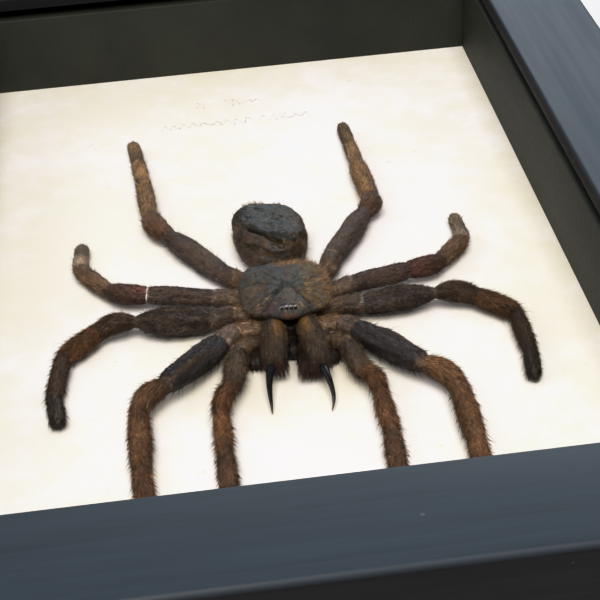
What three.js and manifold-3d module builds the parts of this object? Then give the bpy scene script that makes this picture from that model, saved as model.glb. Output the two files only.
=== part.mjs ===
// Tarantula specimen mounted in a black shadow-box frame.
// Millimetres. The case lies on its back: +Z points out of its open face, +Y towards the
// specimen's head, which is the top of the case when it hangs. The origin is the middle of the back.
import * as THREE from 'three';
import Module from 'manifold-3d';
import { mergeVertices } from 'three/addons/utils/BufferGeometryUtils.js';

// Case, from the opening outwards
const OPENING = { width: 124, length: 190 };
const RAIL = { face: 21.2, depth: 35, lipReach: 6.2, lipThick: 3.7, arris: 1.5, innerArris: 0.7 };
const SPACER = { thick: 5.9, height: 19.3, arris: 0.5 };
const GLAZING_SLOT = 2.6;
const SHEET_THICK = 0.4;
const BOARD_THICK = 5;
const MITRE_GAP = 0.07;      // each rail stops this far short of the mitre
const LAY_GAP = 0.1;         // between pieces that lie on each other
const SIDE_GAP = 0.3;        // between a sheet's edge and the rail around it

// Fixings on the back
const POINT = { width: 9, length: 13, thick: 0.6 };
const HANGER = {
  width: 44, strip: 9, rise: 2.2, metal: 0.9, foot: 6, teeth: 9, toothDepth: 1.8, toothPitch: 2.6,
};
const NAIL = { head: 1.7, headThick: 0.5 };

// Heights of the stack, from the back face
const SLOT_FLOOR = RAIL.depth - RAIL.lipThick - GLAZING_SLOT;
const SHEET_TOP = SLOT_FLOOR - SPACER.height - LAY_GAP;
const BOARD_TOP = SHEET_TOP - SHEET_THICK - LAY_GAP;
const BOARD_BACK = BOARD_TOP - BOARD_THICK;
const REBATE = { width: OPENING.width + 2 * RAIL.lipReach, length: OPENING.length + 2 * RAIL.lipReach };

// Specimen: x and y across the sheet, z above it
const BODY_X = -2.8;         // the body lies a little to the left of the case's middle
const LIMB = {
  sides: 10,
  flatness: 0.95,
  stations: [0.2, 0.55, 0.88],   // rings between two joints
  waist: 0.93,                 // girth at a joint, as a share of the thinner segment beside it
  swell: 1.04,                 // girth at a segment's middle
  knee: 3,                     // its place along a limb: coxa 0, trochanter 1, femur 2, patella 3
  kneeBow: 0.9,                // how far the short knee segment bows out of line
};

// Each limb's joints from its root to its tip, and the girth of each segment between them
const LIMBS = {
  leg_right_1: {
    joints: [[1.6, 25.3, 2.9], [8.0, 25.8, 3.3], [10.6, 29.8, 3.9], [21.8, 41.8, 4.7],
      [27.0, 47.0, 3.4], [27.0, 62.0, 2.8], [26.7, 72.4, 2.1], [26.3, 80.0, 1.9]],
    girth: [4.0, 4.4, 5.0, 4.0, 3.6, 3.2, 2.9],
  },
  leg_left_1: {
    joints: [[-7.3, 25.9, 2.9], [-12.6, 27.2, 3.3], [-15.1, 30.2, 3.9], [-25.4, 43.9, 4.5],
      [-30.8, 50.3, 3.4], [-30.9, 64.1, 2.8], [-30.4, 74.4, 2.1], [-30.0, 81.8, 1.9]],
    girth: [4.0, 4.4, 5.0, 4.0, 3.6, 3.2, 2.9],
  },
  leg_right_2: {
    joints: [[1.6, 20.9, 2.9], [7.8, 19.8, 3.3], [11.7, 21.3, 3.6], [26.4, 19.8, 4.1],
      [34.1, 20.5, 3.2], [40.8, 27.2, 2.9], [42.5, 38.3, 2.0], [41.6, 46.0, 1.9]],
    girth: [4.0, 4.2, 5.6, 4.0, 3.7, 2.9, 2.8],
  },
  leg_left_2: {
    joints: [[-7.3, 21.5, 2.9], [-14.0, 20.8, 3.3], [-17.5, 21.8, 3.6], [-31.8, 21.5, 4.1],
      [-40.0, 22.7, 3.2], [-46.4, 28.7, 2.9], [-46.4, 40.5, 2.0], [-45.3, 48.0, 1.8]],
    girth: [4.0, 4.2, 5.2, 4.0, 3.7, 2.8, 2.7],
  },
  leg_right_3: {
    joints: [[1.5, 16.5, 2.9], [7.7, 14.2, 3.3], [10.8, 13.9, 3.6], [23.9, 10.3, 3.6],
      [31.5, 6.9, 3.1], [37.6, -3.0, 2.8], [37.5, -8.7, 1.9], [37.1, -13.2, 1.7]],
    girth: [3.8, 3.9, 3.8, 4.1, 3.4, 3.0, 2.8],
  },
  leg_left_3: {
    joints: [[-7.2, 17.1, 2.9], [-13.8, 14.9, 3.3], [-16.6, 14.4, 3.6], [-28.2, 11.7, 3.6],
      [-35.5, 9.1, 3.1], [-41.5, 1.8, 2.8], [-42.2, -3.4, 1.9], [-42.1, -9.5, 1.7]],
    girth: [3.8, 3.9, 3.8, 4.0, 3.6, 3.1, 2.7],
  },
  leg_right_4: {
    joints: [[1.1, 12.1, 2.9], [5.9, 7.7, 3.3], [8.3, 5.7, 3.4], [18.6, -11.2, 3.3],
      [22.4, -20.1, 3.1], [23.4, -37.0, 2.5], [24.3, -47.0, 1.9], [25.2, -56.3, 1.8]],
    girth: [3.8, 4.2, 4.6, 4.3, 3.4, 3.1, 2.9],
  },
  leg_left_4: {
    joints: [[-6.8, 12.5, 2.9], [-12.6, 7.7, 3.3], [-14.1, 3.9, 3.6], [-23.2, -12.1, 3.6],
      [-25.6, -18.4, 3.1], [-25.1, -34.7, 2.5], [-24.9, -45.0, 1.9], [-24.6, -55.3, 1.7]],
    girth: [3.8, 4.2, 4.5, 4.3, 3.9, 3.0, 2.7],
  },
  palp_right: {
    joints: [[0.7, 29.4, 2.9], [5.4, 30.2, 3.3], [7.4, 32.6, 3.6], [9.5, 43.0, 3.8],
      [12.3, 49.1, 3.1], [12.5, 60.2, 2.8], [12.4, 70.6, 2.2]],
    girth: [2.9, 3.5, 3.7, 3.2, 2.7, 3.0],
  },
  palp_left: {
    joints: [[-6.3, 29.9, 2.9], [-10.5, 31.3, 3.3], [-12.6, 34.0, 3.6], [-14.6, 43.1, 3.8],
      [-16.7, 48.4, 3.1], [-16.9, 60.1, 2.8], [-16.4, 70.2, 2.2]],
    girth: [2.9, 3.5, 3.7, 3.2, 2.7, 3.0],
  },
};

// How thick each segment starts and ends, as a share of its girth
const TAPERS = {
  leg_1: [[0.95, 0.98], [0.98, 0.95], [0.92, 0.84], [0.86, 0.95], [0.92, 0.92], [0.92, 0.95], [0.95, 0.9]],
  leg_2: [[0.95, 0.98], [0.98, 0.95], [0.8, 0.42], [0.56, 0.9], [0.95, 0.86], [0.9, 0.92], [0.95, 0.9]],
  leg_3: [[0.95, 0.98], [0.98, 0.95], [0.97, 0.97], [0.88, 0.74], [0.84, 0.88], [0.92, 0.92], [0.95, 0.86]],
  leg_4: [[0.95, 0.98], [0.98, 0.95], [0.95, 0.72], [0.78, 0.86], [0.9, 0.88], [0.92, 0.92], [0.95, 0.9]],
  palp: [[0.95, 0.98], [0.95, 0.95], [0.88, 0.95], [0.95, 0.92], [0.92, 0.95], [0.92, 0.9]],
};

// Jaws: cross-sections from the face to the far end, as centre, width and height
const CHELICERAE = {
  chelicera_right: [
    [[0.65, 31.5, 6.0], 4.3, 5.0], [[0.8, 32.9, 5.7], 4.8, 6.2], [[1.0, 35.2, 5.2], 4.8, 6.0],
    [[1.2, 37.6, 4.7], 4.6, 5.0], [[1.3, 39.2, 4.3], 3.8, 3.6],
  ],
  chelicera_left: [
    [[-6.2, 32.3, 6.2], 4.0, 4.8], [[-6.35, 33.7, 5.7], 4.4, 6.2], [[-6.7, 36.2, 5.2], 4.4, 6.0],
    [[-6.8, 39.0, 4.7], 4.2, 5.0], [[-6.8, 40.8, 4.3], 3.4, 3.6],
  ],
};

// Fangs: the same, down to the point
const FANGS = {
  fang_right: [
    [[2.2, 39.9, 4.0], 1.7, 1.8], [[2.75, 41.9, 3.6], 1.25, 1.4], [[3.0, 44.4, 2.8], 0.95, 1.05],
    [[3.1, 46.9, 1.8], 0.6, 0.66], [[3.2, 48.8, 0.7], 0.15, 0.2],
  ],
  fang_left: [
    [[-7.4, 41.5, 4.0], 1.7, 1.8], [[-7.8, 43.3, 3.8], 1.25, 1.4], [[-8.25, 45.7, 3.0], 0.95, 1.05],
    [[-8.3, 48.0, 1.9], 0.6, 0.66], [[-7.7, 49.8, 0.7], 0.15, 0.2],
  ],
};

const SPINNERETS = {
  spinneret_right: [
    [[-0.8, -14.9, 2.6], 1.5, 1.5], [[-0.2, -16.7, 2.3], 1.3, 1.3], [[0.3, -18.5, 1.9], 0.6, 0.6],
  ],
  spinneret_left: [
    [[-3.6, -14.3, 2.6], 1.5, 1.5], [[-3.7, -16.2, 2.3], 1.3, 1.3], [[-3.7, -18.1, 1.9], 0.6, 0.6],
  ],
};

const ABDOMEN = {
  x: -2.3, y: -4.4, z: 4.95, halfWidth: 7.5, halfLength: 9.9, halfHeight: 4.75,
  boxiness: 0.62, rearSkew: 0.2,
};
// The folds where its skin has dried in, as places x and y on the sheet
const STEP_FOLD = [
  [-9.6, -1.0], [-8.6, 1.0], [-6.8, 4.0], [-3.5, 3.6], [-1.7, 2.0], [-0.4, 0.4], [1.9, -1.5], [3.8, -4.3],
  [5.0, -7.7], [6.0, -10.0],
];
const FRONT_FOLD = [[-8, 5.6], [-2.9, 6.6], [2.5, 3.0], [6, 1.0]];

// Carapace: the front half narrows by the taper, the rear half has squared corners
const CARAPACE = {
  y: 20.8, halfWidth: 8.8, halfLength: 10.2, rearLength: 12.0, margin: 5.9, rim: 1.1, dome: 2.3,
  headLift: 0.6, frontLift: 1.3, taper: 0.4, rearCorner: 0.52,
};
const STERNUM = { y: 20.0, halfWidth: 3.4, halfLength: 9.2, floor: 0.3, top: 5.3 };

const wasm = await Module();
wasm.setup();

const finish = (color, roughness, metalness = 0) =>
  new THREE.MeshStandardMaterial({ color, roughness, metalness });

const FINISHES = {
  frame: () => finish('#2b3033', 0.45),
  spacer: () => finish('#30322e', 0.6),
  sheet: () => finish('#f1eadb', 0.9),
  board: () => finish('#8a6b45', 0.85),
  steel: () => finish('#9a9c9e', 0.35, 0.9),
  shell: () => finish('#4c4a44', 0.6),
  limb: () => finish('#4f3a28', 0.85),
  fang: () => finish('#101216', 0.15),
};

const bell = (distance, width) => Math.exp(-((distance / width) ** 2));

function smooth(low, high, value) {
  const share = Math.max(0, Math.min(1, (value - low) / (high - low)));
  return share * share * (3 - 2 * share);
}

// The y of a line through points at x
function lineAt(points, x) {
  const next = points.findIndex(([at]) => at > x);
  if (next < 1) return points.at(next)[1];
  const [[x0, y0], [x1, y1]] = [points[next - 1], points[next]];
  return y0 + ((y1 - y0) * (x - x0)) / (x1 - x0);
}

function named(name, geometry, look) {
  const piece = new THREE.Mesh(geometry, FINISHES[look]());
  piece.name = name;
  return piece;
}

function bare(geometry) {
  const merged = geometry.index ? geometry.toNonIndexed() : geometry;
  merged.deleteAttribute('normal');
  merged.deleteAttribute('uv');
  return mergeVertices(merged, 1e-4);
}

function toSolid(geometry) {
  const plain = bare(geometry);
  return new wasm.Manifold(new wasm.Mesh({
    numProp: 3,
    vertProperties: new Float32Array(plain.attributes.position.array),
    triVerts: new Uint32Array(plain.index.array),
  }));
}

function toGeometry(solid) {
  const mesh = solid.getMesh();
  const geometry = new THREE.BufferGeometry();
  geometry.setAttribute('position', new THREE.BufferAttribute(mesh.vertProperties, 3));
  geometry.setIndex(new THREE.BufferAttribute(mesh.triVerts, 1));
  return geometry;
}

// A closed skin through rings of points; the rings run so that the faces point outwards
function skin(rings) {
  const sides = rings[0].length;
  const centreOf = (ring) => ring.reduce((sum, p) => sum.add(p), new THREE.Vector3()).divideScalar(sides);
  const points = [...rings.flat(), centreOf(rings[0]), centreOf(rings.at(-1))];
  const startCap = points.length - 2;
  const endCap = points.length - 1;
  const lastRing = (rings.length - 1) * sides;
  const faces = [];
  for (let side = 0; side < sides; side += 1) {
    const next = (side + 1) % sides;
    for (let row = 0; row < lastRing; row += sides) {
      faces.push(row + side, row + next, row + sides + side);
      faces.push(row + next, row + sides + next, row + sides + side);
    }
    faces.push(startCap, next, side);
    faces.push(endCap, lastRing + side, lastRing + next);
  }
  const geometry = new THREE.BufferGeometry().setFromPoints(points);
  geometry.setIndex(faces);
  return geometry;
}

// An oval ring that faces along a direction, wider or taller as asked
function oval(centre, along, width, height, sides) {
  const across = new THREE.Vector3().crossVectors(along, new THREE.Vector3(0, 0, 1)).normalize();
  const up = new THREE.Vector3().crossVectors(across, along).normalize();
  return Array.from({ length: sides }, (_, i) => {
    const turn = (i / sides) * 2 * Math.PI;
    return centre.clone()
      .addScaledVector(across, Math.cos(turn) * width / 2)
      .addScaledVector(up, -Math.sin(turn) * height / 2);
  });
}

function girthAt([start, end], share) {
  const late = (Math.max(share - 0.5, 0) / 0.5) ** 2.2;
  return start + (LIMB.swell - start) * smooth(-0.02, 0.4, share) - (LIMB.swell - end) * late;
}

// One limb, from its root to its tip: swollen segments that narrow at each joint
function limb({ joints, girth }, tapers) {
  const points = joints.map((p) => new THREE.Vector3(...p));
  const heading = girth.map((_, i) => points[i + 1].clone().sub(points[i]).normalize());
  const out = heading[LIMB.knee - 1].clone().sub(heading[LIMB.knee + 1]).setZ(0.3).normalize();
  const centre = (i, share) => {
    const bow = i === LIMB.knee ? LIMB.kneeBow * Math.sin(Math.PI * share) : 0;
    return points[i].clone().lerp(points[i + 1], share).addScaledVector(out, bow);
  };
  const rings = [];
  const addRing = (place, along, across) => {
    rings.push(oval(place, along, across, across * LIMB.flatness, LIMB.sides));
  };
  girth.forEach((wide, i) => {
    const before = i ? girth[i - 1] * tapers[i - 1][1] : wide;
    const facing = heading[i].clone().add(heading[i - 1] ?? heading[i]).normalize();
    addRing(centre(i, 0), facing, LIMB.waist * Math.min(wide * tapers[i][0], before));
    for (const share of LIMB.stations) {
      addRing(centre(i, share), heading[i], wide * girthAt(tapers[i], share));
    }
  });
  addRing(points.at(-1), heading.at(-1), girth.at(-1) * 0.55);
  return skin(rings);
}

function sectioned(sections, sides) {
  const centres = sections.map(([p]) => new THREE.Vector3(...p));
  const rings = sections.map(([, width, height], i) => {
    const from = centres[Math.max(i - 1, 0)];
    const to = centres[Math.min(i + 1, centres.length - 1)];
    return oval(centres[i], to.clone().sub(from).normalize(), width, height, sides);
  });
  return skin(rings);
}

// Shrunken abdomen: a boxy sac, narrower in front, with a sunken top, a step across it and a fold in front
function abdomen() {
  const { x: midX, y: midY, z: midZ, halfWidth, halfLength, halfHeight, boxiness, rearSkew } = ABDOMEN;
  const geometry = bare(new THREE.SphereGeometry(1, 36, 22).rotateX(Math.PI / 2));
  const place = geometry.attributes.position;
  const boxed = (v) => Math.sign(v) * Math.abs(v) ** boxiness;
  for (let i = 0; i < place.count; i += 1) {
    const [u, v, w] = [place.getX(i), place.getY(i), place.getZ(i)];
    const long = boxed(v);
    const wide = boxed(u) * (1 - 0.3 * Math.max(long, 0) ** 2 - 0.26 * Math.max(-long, 0) ** 3);
    const sunk = 0.1 * bell(long + 0.1, 0.5) * (1 - wide ** 2);
    const top = w > 0 ? 1 - sunk - 0.12 * Math.max(-long, 0) : 1;
    const x = wide * halfWidth;
    let y = long * halfLength;
    y -= rearSkew * x * smooth(0, -6, y);
    const z = boxed(w) * halfHeight * top;
    const ahead = y + midY - lineAt(STEP_FOLD, x + midX);
    const frontFold = bell(y + midY - lineAt(FRONT_FOLD, x + midX), 0.8);
    const sink = 0.6 * bell(ahead - 0.2, 0.9) + 0.5 * smooth(-0.1, 1, ahead) + 0.5 * frontFold;
    place.setXYZ(i, x, y, z - sink * smooth(3.5, 6.5, z + midZ));
  }
  return geometry;
}

// Carapace: a low shield with a raised head, an eye mound, a dimple in its middle and grooves to it
function carapace() {
  const { halfWidth, halfLength, rearLength, rim, dome, headLift, frontLift, taper, rearCorner } = CARAPACE;
  const sectors = 32;
  const shares = [0, 0.16, 0.34, 0.52, 0.68, 0.82, 0.93, 1];
  const edge = (turn) => {
    const [aside, forward] = [Math.cos(turn), Math.sin(turn)];
    const square = forward > 0 ? 1 : rearCorner;
    const out = (v) => Math.sign(v) * Math.abs(v) ** square;
    const narrow = 1 - taper * Math.max(forward, 0) ** 3.4;
    return [out(aside) * halfWidth * narrow, out(forward) * (forward > 0 ? halfLength : rearLength)];
  };
  const lift = (v) => frontLift * smooth(3.5, 10, v);
  const rise = (x, v, share) => {
    const ahead = Math.max(v, 0);
    const groove = bell(Math.abs(x) - 0.6 - 0.72 * ahead, 0.9) * smooth(-1.5, 1, v) * (1 - share ** 10);
    const wedge = smooth(1 + 0.76 * ahead, 0.2 + 0.64 * ahead, Math.abs(x)) * smooth(-1, 2.5, v);
    const head = headLift * smooth(-1, 6, v) * Math.exp(-((x / 6.2) ** 4)) + 0.7 * wedge * (1 - share ** 12);
    const mound = 0.6 * bell(Math.hypot((x - 0.25) / 1.3, v - 8.5), 1.3);
    const bumps = mound - 0.5 * bell(Math.hypot(x, v + 0.6), 1.1) - 0.9 * groove;
    return rim + dome * (1 - share ** 2.2) + head + bumps * (1 - share ** 14) + lift(v);
  };
  const rows = shares.slice(1).map((share) => Array.from({ length: sectors }, (_, i) => {
    const [x, v] = edge((i / sectors) * 2 * Math.PI).map((d) => d * share);
    return new THREE.Vector3(x, v, rise(x, v, share));
  }));
  const skirt = rows.at(-1).map((p) => new THREE.Vector3(p.x * 0.93, p.y * 0.95, lift(p.y)));
  return skin([skirt, ...rows.reverse()]);
}

function sternum() {
  const { y, halfWidth, halfLength, floor, top } = STERNUM;
  const levels = [[floor, 0.72], [floor + 1.2, 0.95], [top - 1, 1], [top, 0.9]];
  const sectors = 20;
  return skin(levels.map(([z, share]) => Array.from({ length: sectors }, (_, i) => {
    const turn = (i / sectors) * 2 * Math.PI;
    const forward = Math.sin(turn);
    const x = Math.cos(turn) * halfWidth * share * (1 - 0.15 * forward);
    return new THREE.Vector3(BODY_X + x, y + forward * halfLength * share, z);
  })));
}

// A length of moulding: the section is drawn from its outer face inwards, the ends are cut at 45 degrees
function moulding(section, halfAlong, halfAcross) {
  const geometry = new THREE.ExtrudeGeometry(section, { depth: 2, bevelEnabled: false, curveSegments: 5 });
  const place = geometry.attributes.position;
  for (let i = 0; i < place.count; i += 1) {
    const [inward, z, end] = [place.getX(i), place.getY(i), place.getZ(i) - 1];
    place.setXYZ(i, end * (halfAlong - inward - MITRE_GAP), inward - halfAcross, z);
  }
  return bare(geometry);
}

function railSection() {
  const { face, depth, lipReach, lipThick, arris, innerArris } = RAIL;
  const wall = face - lipReach;
  const section = new THREE.Shape();
  section.moveTo(0.6, 0);
  section.lineTo(wall, 0);
  section.lineTo(wall, depth - lipThick);
  section.lineTo(face, depth - lipThick);
  section.lineTo(face, depth - innerArris);
  section.absarc(face - innerArris, depth - innerArris, innerArris, 0, Math.PI / 2, false);
  section.lineTo(arris, depth);
  section.absarc(arris, depth - arris, arris, Math.PI / 2, Math.PI, false);
  section.lineTo(0, 0.6);
  section.closePath();
  return section;
}

function spacerSection() {
  const { thick, height, arris } = SPACER;
  const section = new THREE.Shape();
  section.moveTo(0, 0);
  section.lineTo(thick, 0);
  section.lineTo(thick, height - arris);
  section.lineTo(thick - arris, height);
  section.lineTo(0, height);
  section.closePath();
  return section;
}

// Four lengths of one section, mitred round a rectangle whose outer size is given
function surround(prefix, section, width, length, look) {
  const sides = [
    ['bottom', width, length, 0], ['right', length, width, Math.PI / 2],
    ['top', width, length, Math.PI], ['left', length, width, -Math.PI / 2],
  ];
  return sides.map(([side, along, across, turn]) => {
    const piece = named(`${prefix}_${side}`, moulding(section, along / 2, across / 2), look);
    piece.rotation.z = turn;
    return piece;
  });
}

function layer(name, thick, look) {
  const { width, length } = REBATE;
  return named(name, new THREE.BoxGeometry(width - 2 * SIDE_GAP, length - 2 * SIDE_GAP, thick), look);
}

// Sawtooth hanger: a strip that stands off the board on two feet, with teeth along its lower edge
function hanger() {
  const { width, strip, rise, metal, foot, teeth, toothDepth, toothPitch } = HANGER;
  const half = width / 2;
  const side = new THREE.Shape([
    [-half, 0], [-half, -metal], [-half + foot, -metal], [-half + foot + rise, -rise],
    [half - foot - rise, -rise], [half - foot, -metal], [half, -metal], [half, 0],
    [half - foot - 0.4, 0], [half - foot - 0.4 - rise + metal, metal - rise],
    [-half + foot + 0.4 + rise - metal, metal - rise], [-half + foot + 0.4, 0],
  ].map(([x, z]) => new THREE.Vector2(x, z)));
  const bar = new THREE.ExtrudeGeometry(side, { depth: strip, bevelEnabled: false });
  bar.rotateX(Math.PI / 2).translate(0, strip / 2, 0);
  const notch = new THREE.Shape([
    new THREE.Vector2(-toothPitch / 2 + 0.1, -0.5), new THREE.Vector2(toothPitch / 2 - 0.1, -0.5),
    new THREE.Vector2(0, toothDepth),
  ]);
  let solid = toSolid(bar);
  for (let i = 0; i < teeth; i += 1) {
    const cut = new THREE.ExtrudeGeometry(notch, { depth: 4 * rise, bevelEnabled: false });
    cut.translate((i - (teeth - 1) / 2) * toothPitch, -strip / 2, -3 * rise);
    solid = solid.subtract(toSolid(cut));
  }
  return toGeometry(solid);
}

const part = new THREE.Group();

const rails = new THREE.Group();
rails.add(...surround('frame_rail', railSection(),
  OPENING.width + 2 * RAIL.face, OPENING.length + 2 * RAIL.face, 'frame'));

const spacers = new THREE.Group();
spacers.position.z = SLOT_FLOOR - SPACER.height;
spacers.add(...surround('spacer', spacerSection(),
  OPENING.width + 2 * SPACER.thick, OPENING.length + 2 * SPACER.thick, 'spacer'));

const sheet = layer('parchment_sheet', SHEET_THICK, 'sheet');
sheet.position.z = SHEET_TOP - SHEET_THICK / 2;
const board = layer('backing_board', BOARD_THICK, 'board');
board.position.z = BOARD_TOP - BOARD_THICK / 2;
part.add(rails, spacers, sheet, board);

// Six flat points lie on the board's back, their outer ends against the rails
const pointPlaces = [-1, 1].flatMap((side) => [
  [0.27 * REBATE.width * side, -1, true], [0.27 * REBATE.width * side, 1, true],
  [0, side, false],
]);
pointPlaces.forEach(([along, side, onShortRail], i) => {
  const tab = new THREE.BoxGeometry(POINT.width, POINT.length, POINT.thick);
  const point = named(`retaining_point_${i + 1}`, tab, 'steel');
  const reach = (onShortRail ? REBATE.length : REBATE.width) / 2 - SIDE_GAP - POINT.length / 2;
  point.position.z = BOARD_BACK - LAY_GAP - POINT.thick / 2;
  if (onShortRail) {
    point.position.x = along;
    point.position.y = side * reach;
  } else {
    point.rotation.z = Math.PI / 2;
    point.position.x = side * reach;
  }
  part.add(point);
});

const hangerY = REBATE.length / 2 - 26;
const bracket = named('sawtooth_hanger', hanger(), 'steel');
bracket.position.set(0, hangerY, BOARD_BACK - LAY_GAP);
part.add(bracket);
for (const side of [-1, 1]) {
  const head = new THREE.CylinderGeometry(NAIL.head, NAIL.head * 0.8, NAIL.headThick, 14);
  const nail = named(`hanger_nail_${side < 0 ? 'left' : 'right'}`, bare(head.rotateX(Math.PI / 2)), 'steel');
  nail.position.set(side * (HANGER.width / 2 - 2.6), hangerY,
    BOARD_BACK - HANGER.metal - 2 * LAY_GAP - NAIL.headThick / 2);
  part.add(nail);
}

const specimen = new THREE.Group();
specimen.position.z = SHEET_TOP;
const sac = named('abdomen', abdomen(), 'shell');
sac.position.set(ABDOMEN.x, ABDOMEN.y, ABDOMEN.z);
const shield = named('carapace', carapace(), 'shell');
shield.position.set(BODY_X, CARAPACE.y, CARAPACE.margin);
specimen.add(sac, shield, named('sternum', sternum(), 'shell'));
for (const [name, form] of Object.entries(LIMBS)) {
  const kind = name.startsWith('palp') ? 'palp' : `leg_${name.at(-1)}`;
  specimen.add(named(name, limb(form, TAPERS[kind]), 'limb'));
}
for (const [name, sections] of Object.entries(CHELICERAE)) {
  specimen.add(named(name, sectioned(sections, 14), 'limb'));
}
for (const [name, sections] of Object.entries(FANGS)) {
  specimen.add(named(name, sectioned(sections, 8), 'fang'));
}
for (const [name, sections] of Object.entries(SPINNERETS)) {
  specimen.add(named(name, sectioned(sections, 8), 'limb'));
}
part.add(specimen);

export default part;
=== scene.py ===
import math

import bmesh
import bpy
import numpy as np
from mathutils import Matrix, Vector, noise


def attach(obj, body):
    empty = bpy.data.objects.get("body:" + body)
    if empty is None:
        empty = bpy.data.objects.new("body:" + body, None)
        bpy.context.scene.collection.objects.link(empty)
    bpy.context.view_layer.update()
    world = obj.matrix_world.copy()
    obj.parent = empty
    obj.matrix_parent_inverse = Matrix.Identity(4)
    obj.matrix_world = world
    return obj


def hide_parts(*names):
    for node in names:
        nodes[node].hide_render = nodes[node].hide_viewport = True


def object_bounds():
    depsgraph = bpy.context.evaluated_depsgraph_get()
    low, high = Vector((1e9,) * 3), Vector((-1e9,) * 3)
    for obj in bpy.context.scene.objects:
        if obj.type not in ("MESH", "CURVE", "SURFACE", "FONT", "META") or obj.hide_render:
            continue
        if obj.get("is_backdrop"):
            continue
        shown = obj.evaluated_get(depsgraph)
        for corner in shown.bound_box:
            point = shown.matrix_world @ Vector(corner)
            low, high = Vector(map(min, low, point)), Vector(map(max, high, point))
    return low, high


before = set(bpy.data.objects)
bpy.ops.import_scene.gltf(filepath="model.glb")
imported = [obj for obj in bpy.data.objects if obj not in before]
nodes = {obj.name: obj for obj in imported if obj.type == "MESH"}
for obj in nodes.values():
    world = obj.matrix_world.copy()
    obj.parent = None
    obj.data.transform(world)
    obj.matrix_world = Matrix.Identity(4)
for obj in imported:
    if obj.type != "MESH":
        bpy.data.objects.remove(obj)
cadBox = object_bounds()

mm = 0.001
sheetTop = 9.3          # the paper's face, in mm above the back of the case
bodyX = -2.8            # the spider's own middle line


def tone(red, green, blue):      # a colour as a screen shows it, as the values that a shader takes
    return tuple((c / 255 / 12.92) if c < 11 else ((c / 255 + 0.055) / 1.055) ** 2.4
                 for c in (red, green, blue)) + (1.0,)


def above(point):        # a place in mm over the paper, as a place in metres in the case
    return Vector((point[0], point[1], point[2] + sheetTop)) * mm


def bell(distance, width):
    return np.exp(-(distance / width) ** 2)


def smooth(low, high, value):
    share = np.clip((value - low) / (high - low), 0, 1)
    return share * share * (3 - 2 * share)


def justAdded(name):     # takes the primitive that was just added into edit mode, all of it selected
    piece = bpy.context.object
    piece.name = piece.data.name = name
    bpy.ops.object.transform_apply(location=True, rotation=True, scale=True)
    bpy.ops.object.mode_set(mode="EDIT")
    bpy.ops.mesh.select_all(action="SELECT")
    return piece


def pick(piece, test, kind="FACE"):      # selects what passes the test, in edit mode
    bpy.ops.mesh.select_mode(type=kind)
    bpy.ops.mesh.select_all(action="DESELECT")
    mesh = bmesh.from_edit_mesh(piece.data)
    for part in {"FACE": mesh.faces, "EDGE": mesh.edges, "VERT": mesh.verts}[kind]:
        if test(part):
            part.select_set(True)
    mesh.select_flush_mode()
    bmesh.update_edit_mesh(piece.data)


def edgeAlong(y, z):     # an edge that runs along X at this height and depth
    def test(edge):
        return all(abs(v.co.y - y) < 1e-6 and abs(v.co.z - z) < 1e-6 for v in edge.verts)
    return test


# points and faces sorted by place, because edit mode leaves them in a new order each run
def inOrder(piece):
    mesh = piece.data
    places = pointsOf(piece)
    order = np.lexsort(np.round(places / mm, 4).T)
    rank = np.empty(len(order), int)
    rank[order] = np.arange(len(order))
    faces = []
    for face in mesh.polygons:
        ring = [int(rank[v]) for v in face.vertices]
        first = ring.index(min(ring))
        faces.append(ring[first:] + ring[:first])
    mesh.clear_geometry()
    mesh.from_pydata(places[order].tolist(), [], sorted(faces))
    mesh.update()
    return piece


def outOfEdit(piece):
    bpy.ops.mesh.select_all(action="SELECT")
    bpy.ops.mesh.normals_make_consistent(inside=False)
    bpy.ops.object.mode_set(mode="OBJECT")
    return inOrder(piece)


def refine(piece, levels):
    finer = piece.modifiers.new("finer", "SUBSURF")
    finer.levels = finer.render_levels = levels
    bpy.ops.object.modifier_apply(modifier=finer.name)


def rounded(piece, angle):
    bpy.ops.object.shade_smooth_by_angle(angle=math.radians(angle))
    return piece


def settle(piece, material, slotName, *replaced):        # finish, body, slot and the solids it stands for; the slot name is not used
    piece.data.materials.clear()
    piece.data.materials.append(material)
    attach(piece, "root")
    if replaced:
        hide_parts(*replaced)
    return piece


def pointsOf(piece):
    places = np.empty(len(piece.data.vertices) * 3, np.float32)
    piece.data.vertices.foreach_get("co", places)
    return places.reshape(-1, 3).astype(float)


def normalsOf(piece):
    ways = np.empty(len(piece.data.vertices) * 3, np.float32)
    piece.data.vertices.foreach_get("normal", ways)
    return ways.reshape(-1, 3).astype(float)


def placePoints(piece, places):
    piece.data.vertices.foreach_set("co", places.astype(np.float32).ravel())
    piece.data.update()


def keep(piece, name, kind, values):     # an attribute on the piece's points
    store = piece.data.attributes.new(name, kind, "POINT")
    field = {"FLOAT_COLOR": "color", "FLOAT_VECTOR": "vector", "FLOAT": "value"}[kind]
    store.data.foreach_set(field, np.asarray(values, np.float32).ravel())


def ripple(places, scale, seed=0.0):     # soft noise from -1 to 1 at each place, scale in mm
    step = 1 / (scale * mm)
    return np.array([noise.noise(Vector((p[0] * step + seed, p[1] * step, p[2] * step)))
                     for p in places])


bpy.ops.object.select_all(action="DESELECT")

stand = {"cameraPlace": (14.37, 262.23, 181.8), "cameraLook": (-0.0677, -0.8207, -0.5673),
         "cameraUp": (-0.0466, -0.5654, 0.8235), "cameraLean": -0.0658, "lens": 90.83, "clip": (0.01, 20),
         "roomLight": 0.30, "darkSide": 0.05,
         "print": [(0.0, 0.0), (0.3, 0.258), (0.55, 0.545), (0.8, 0.80), (1.0, 0.93), (1.3, 1.0)]}
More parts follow.
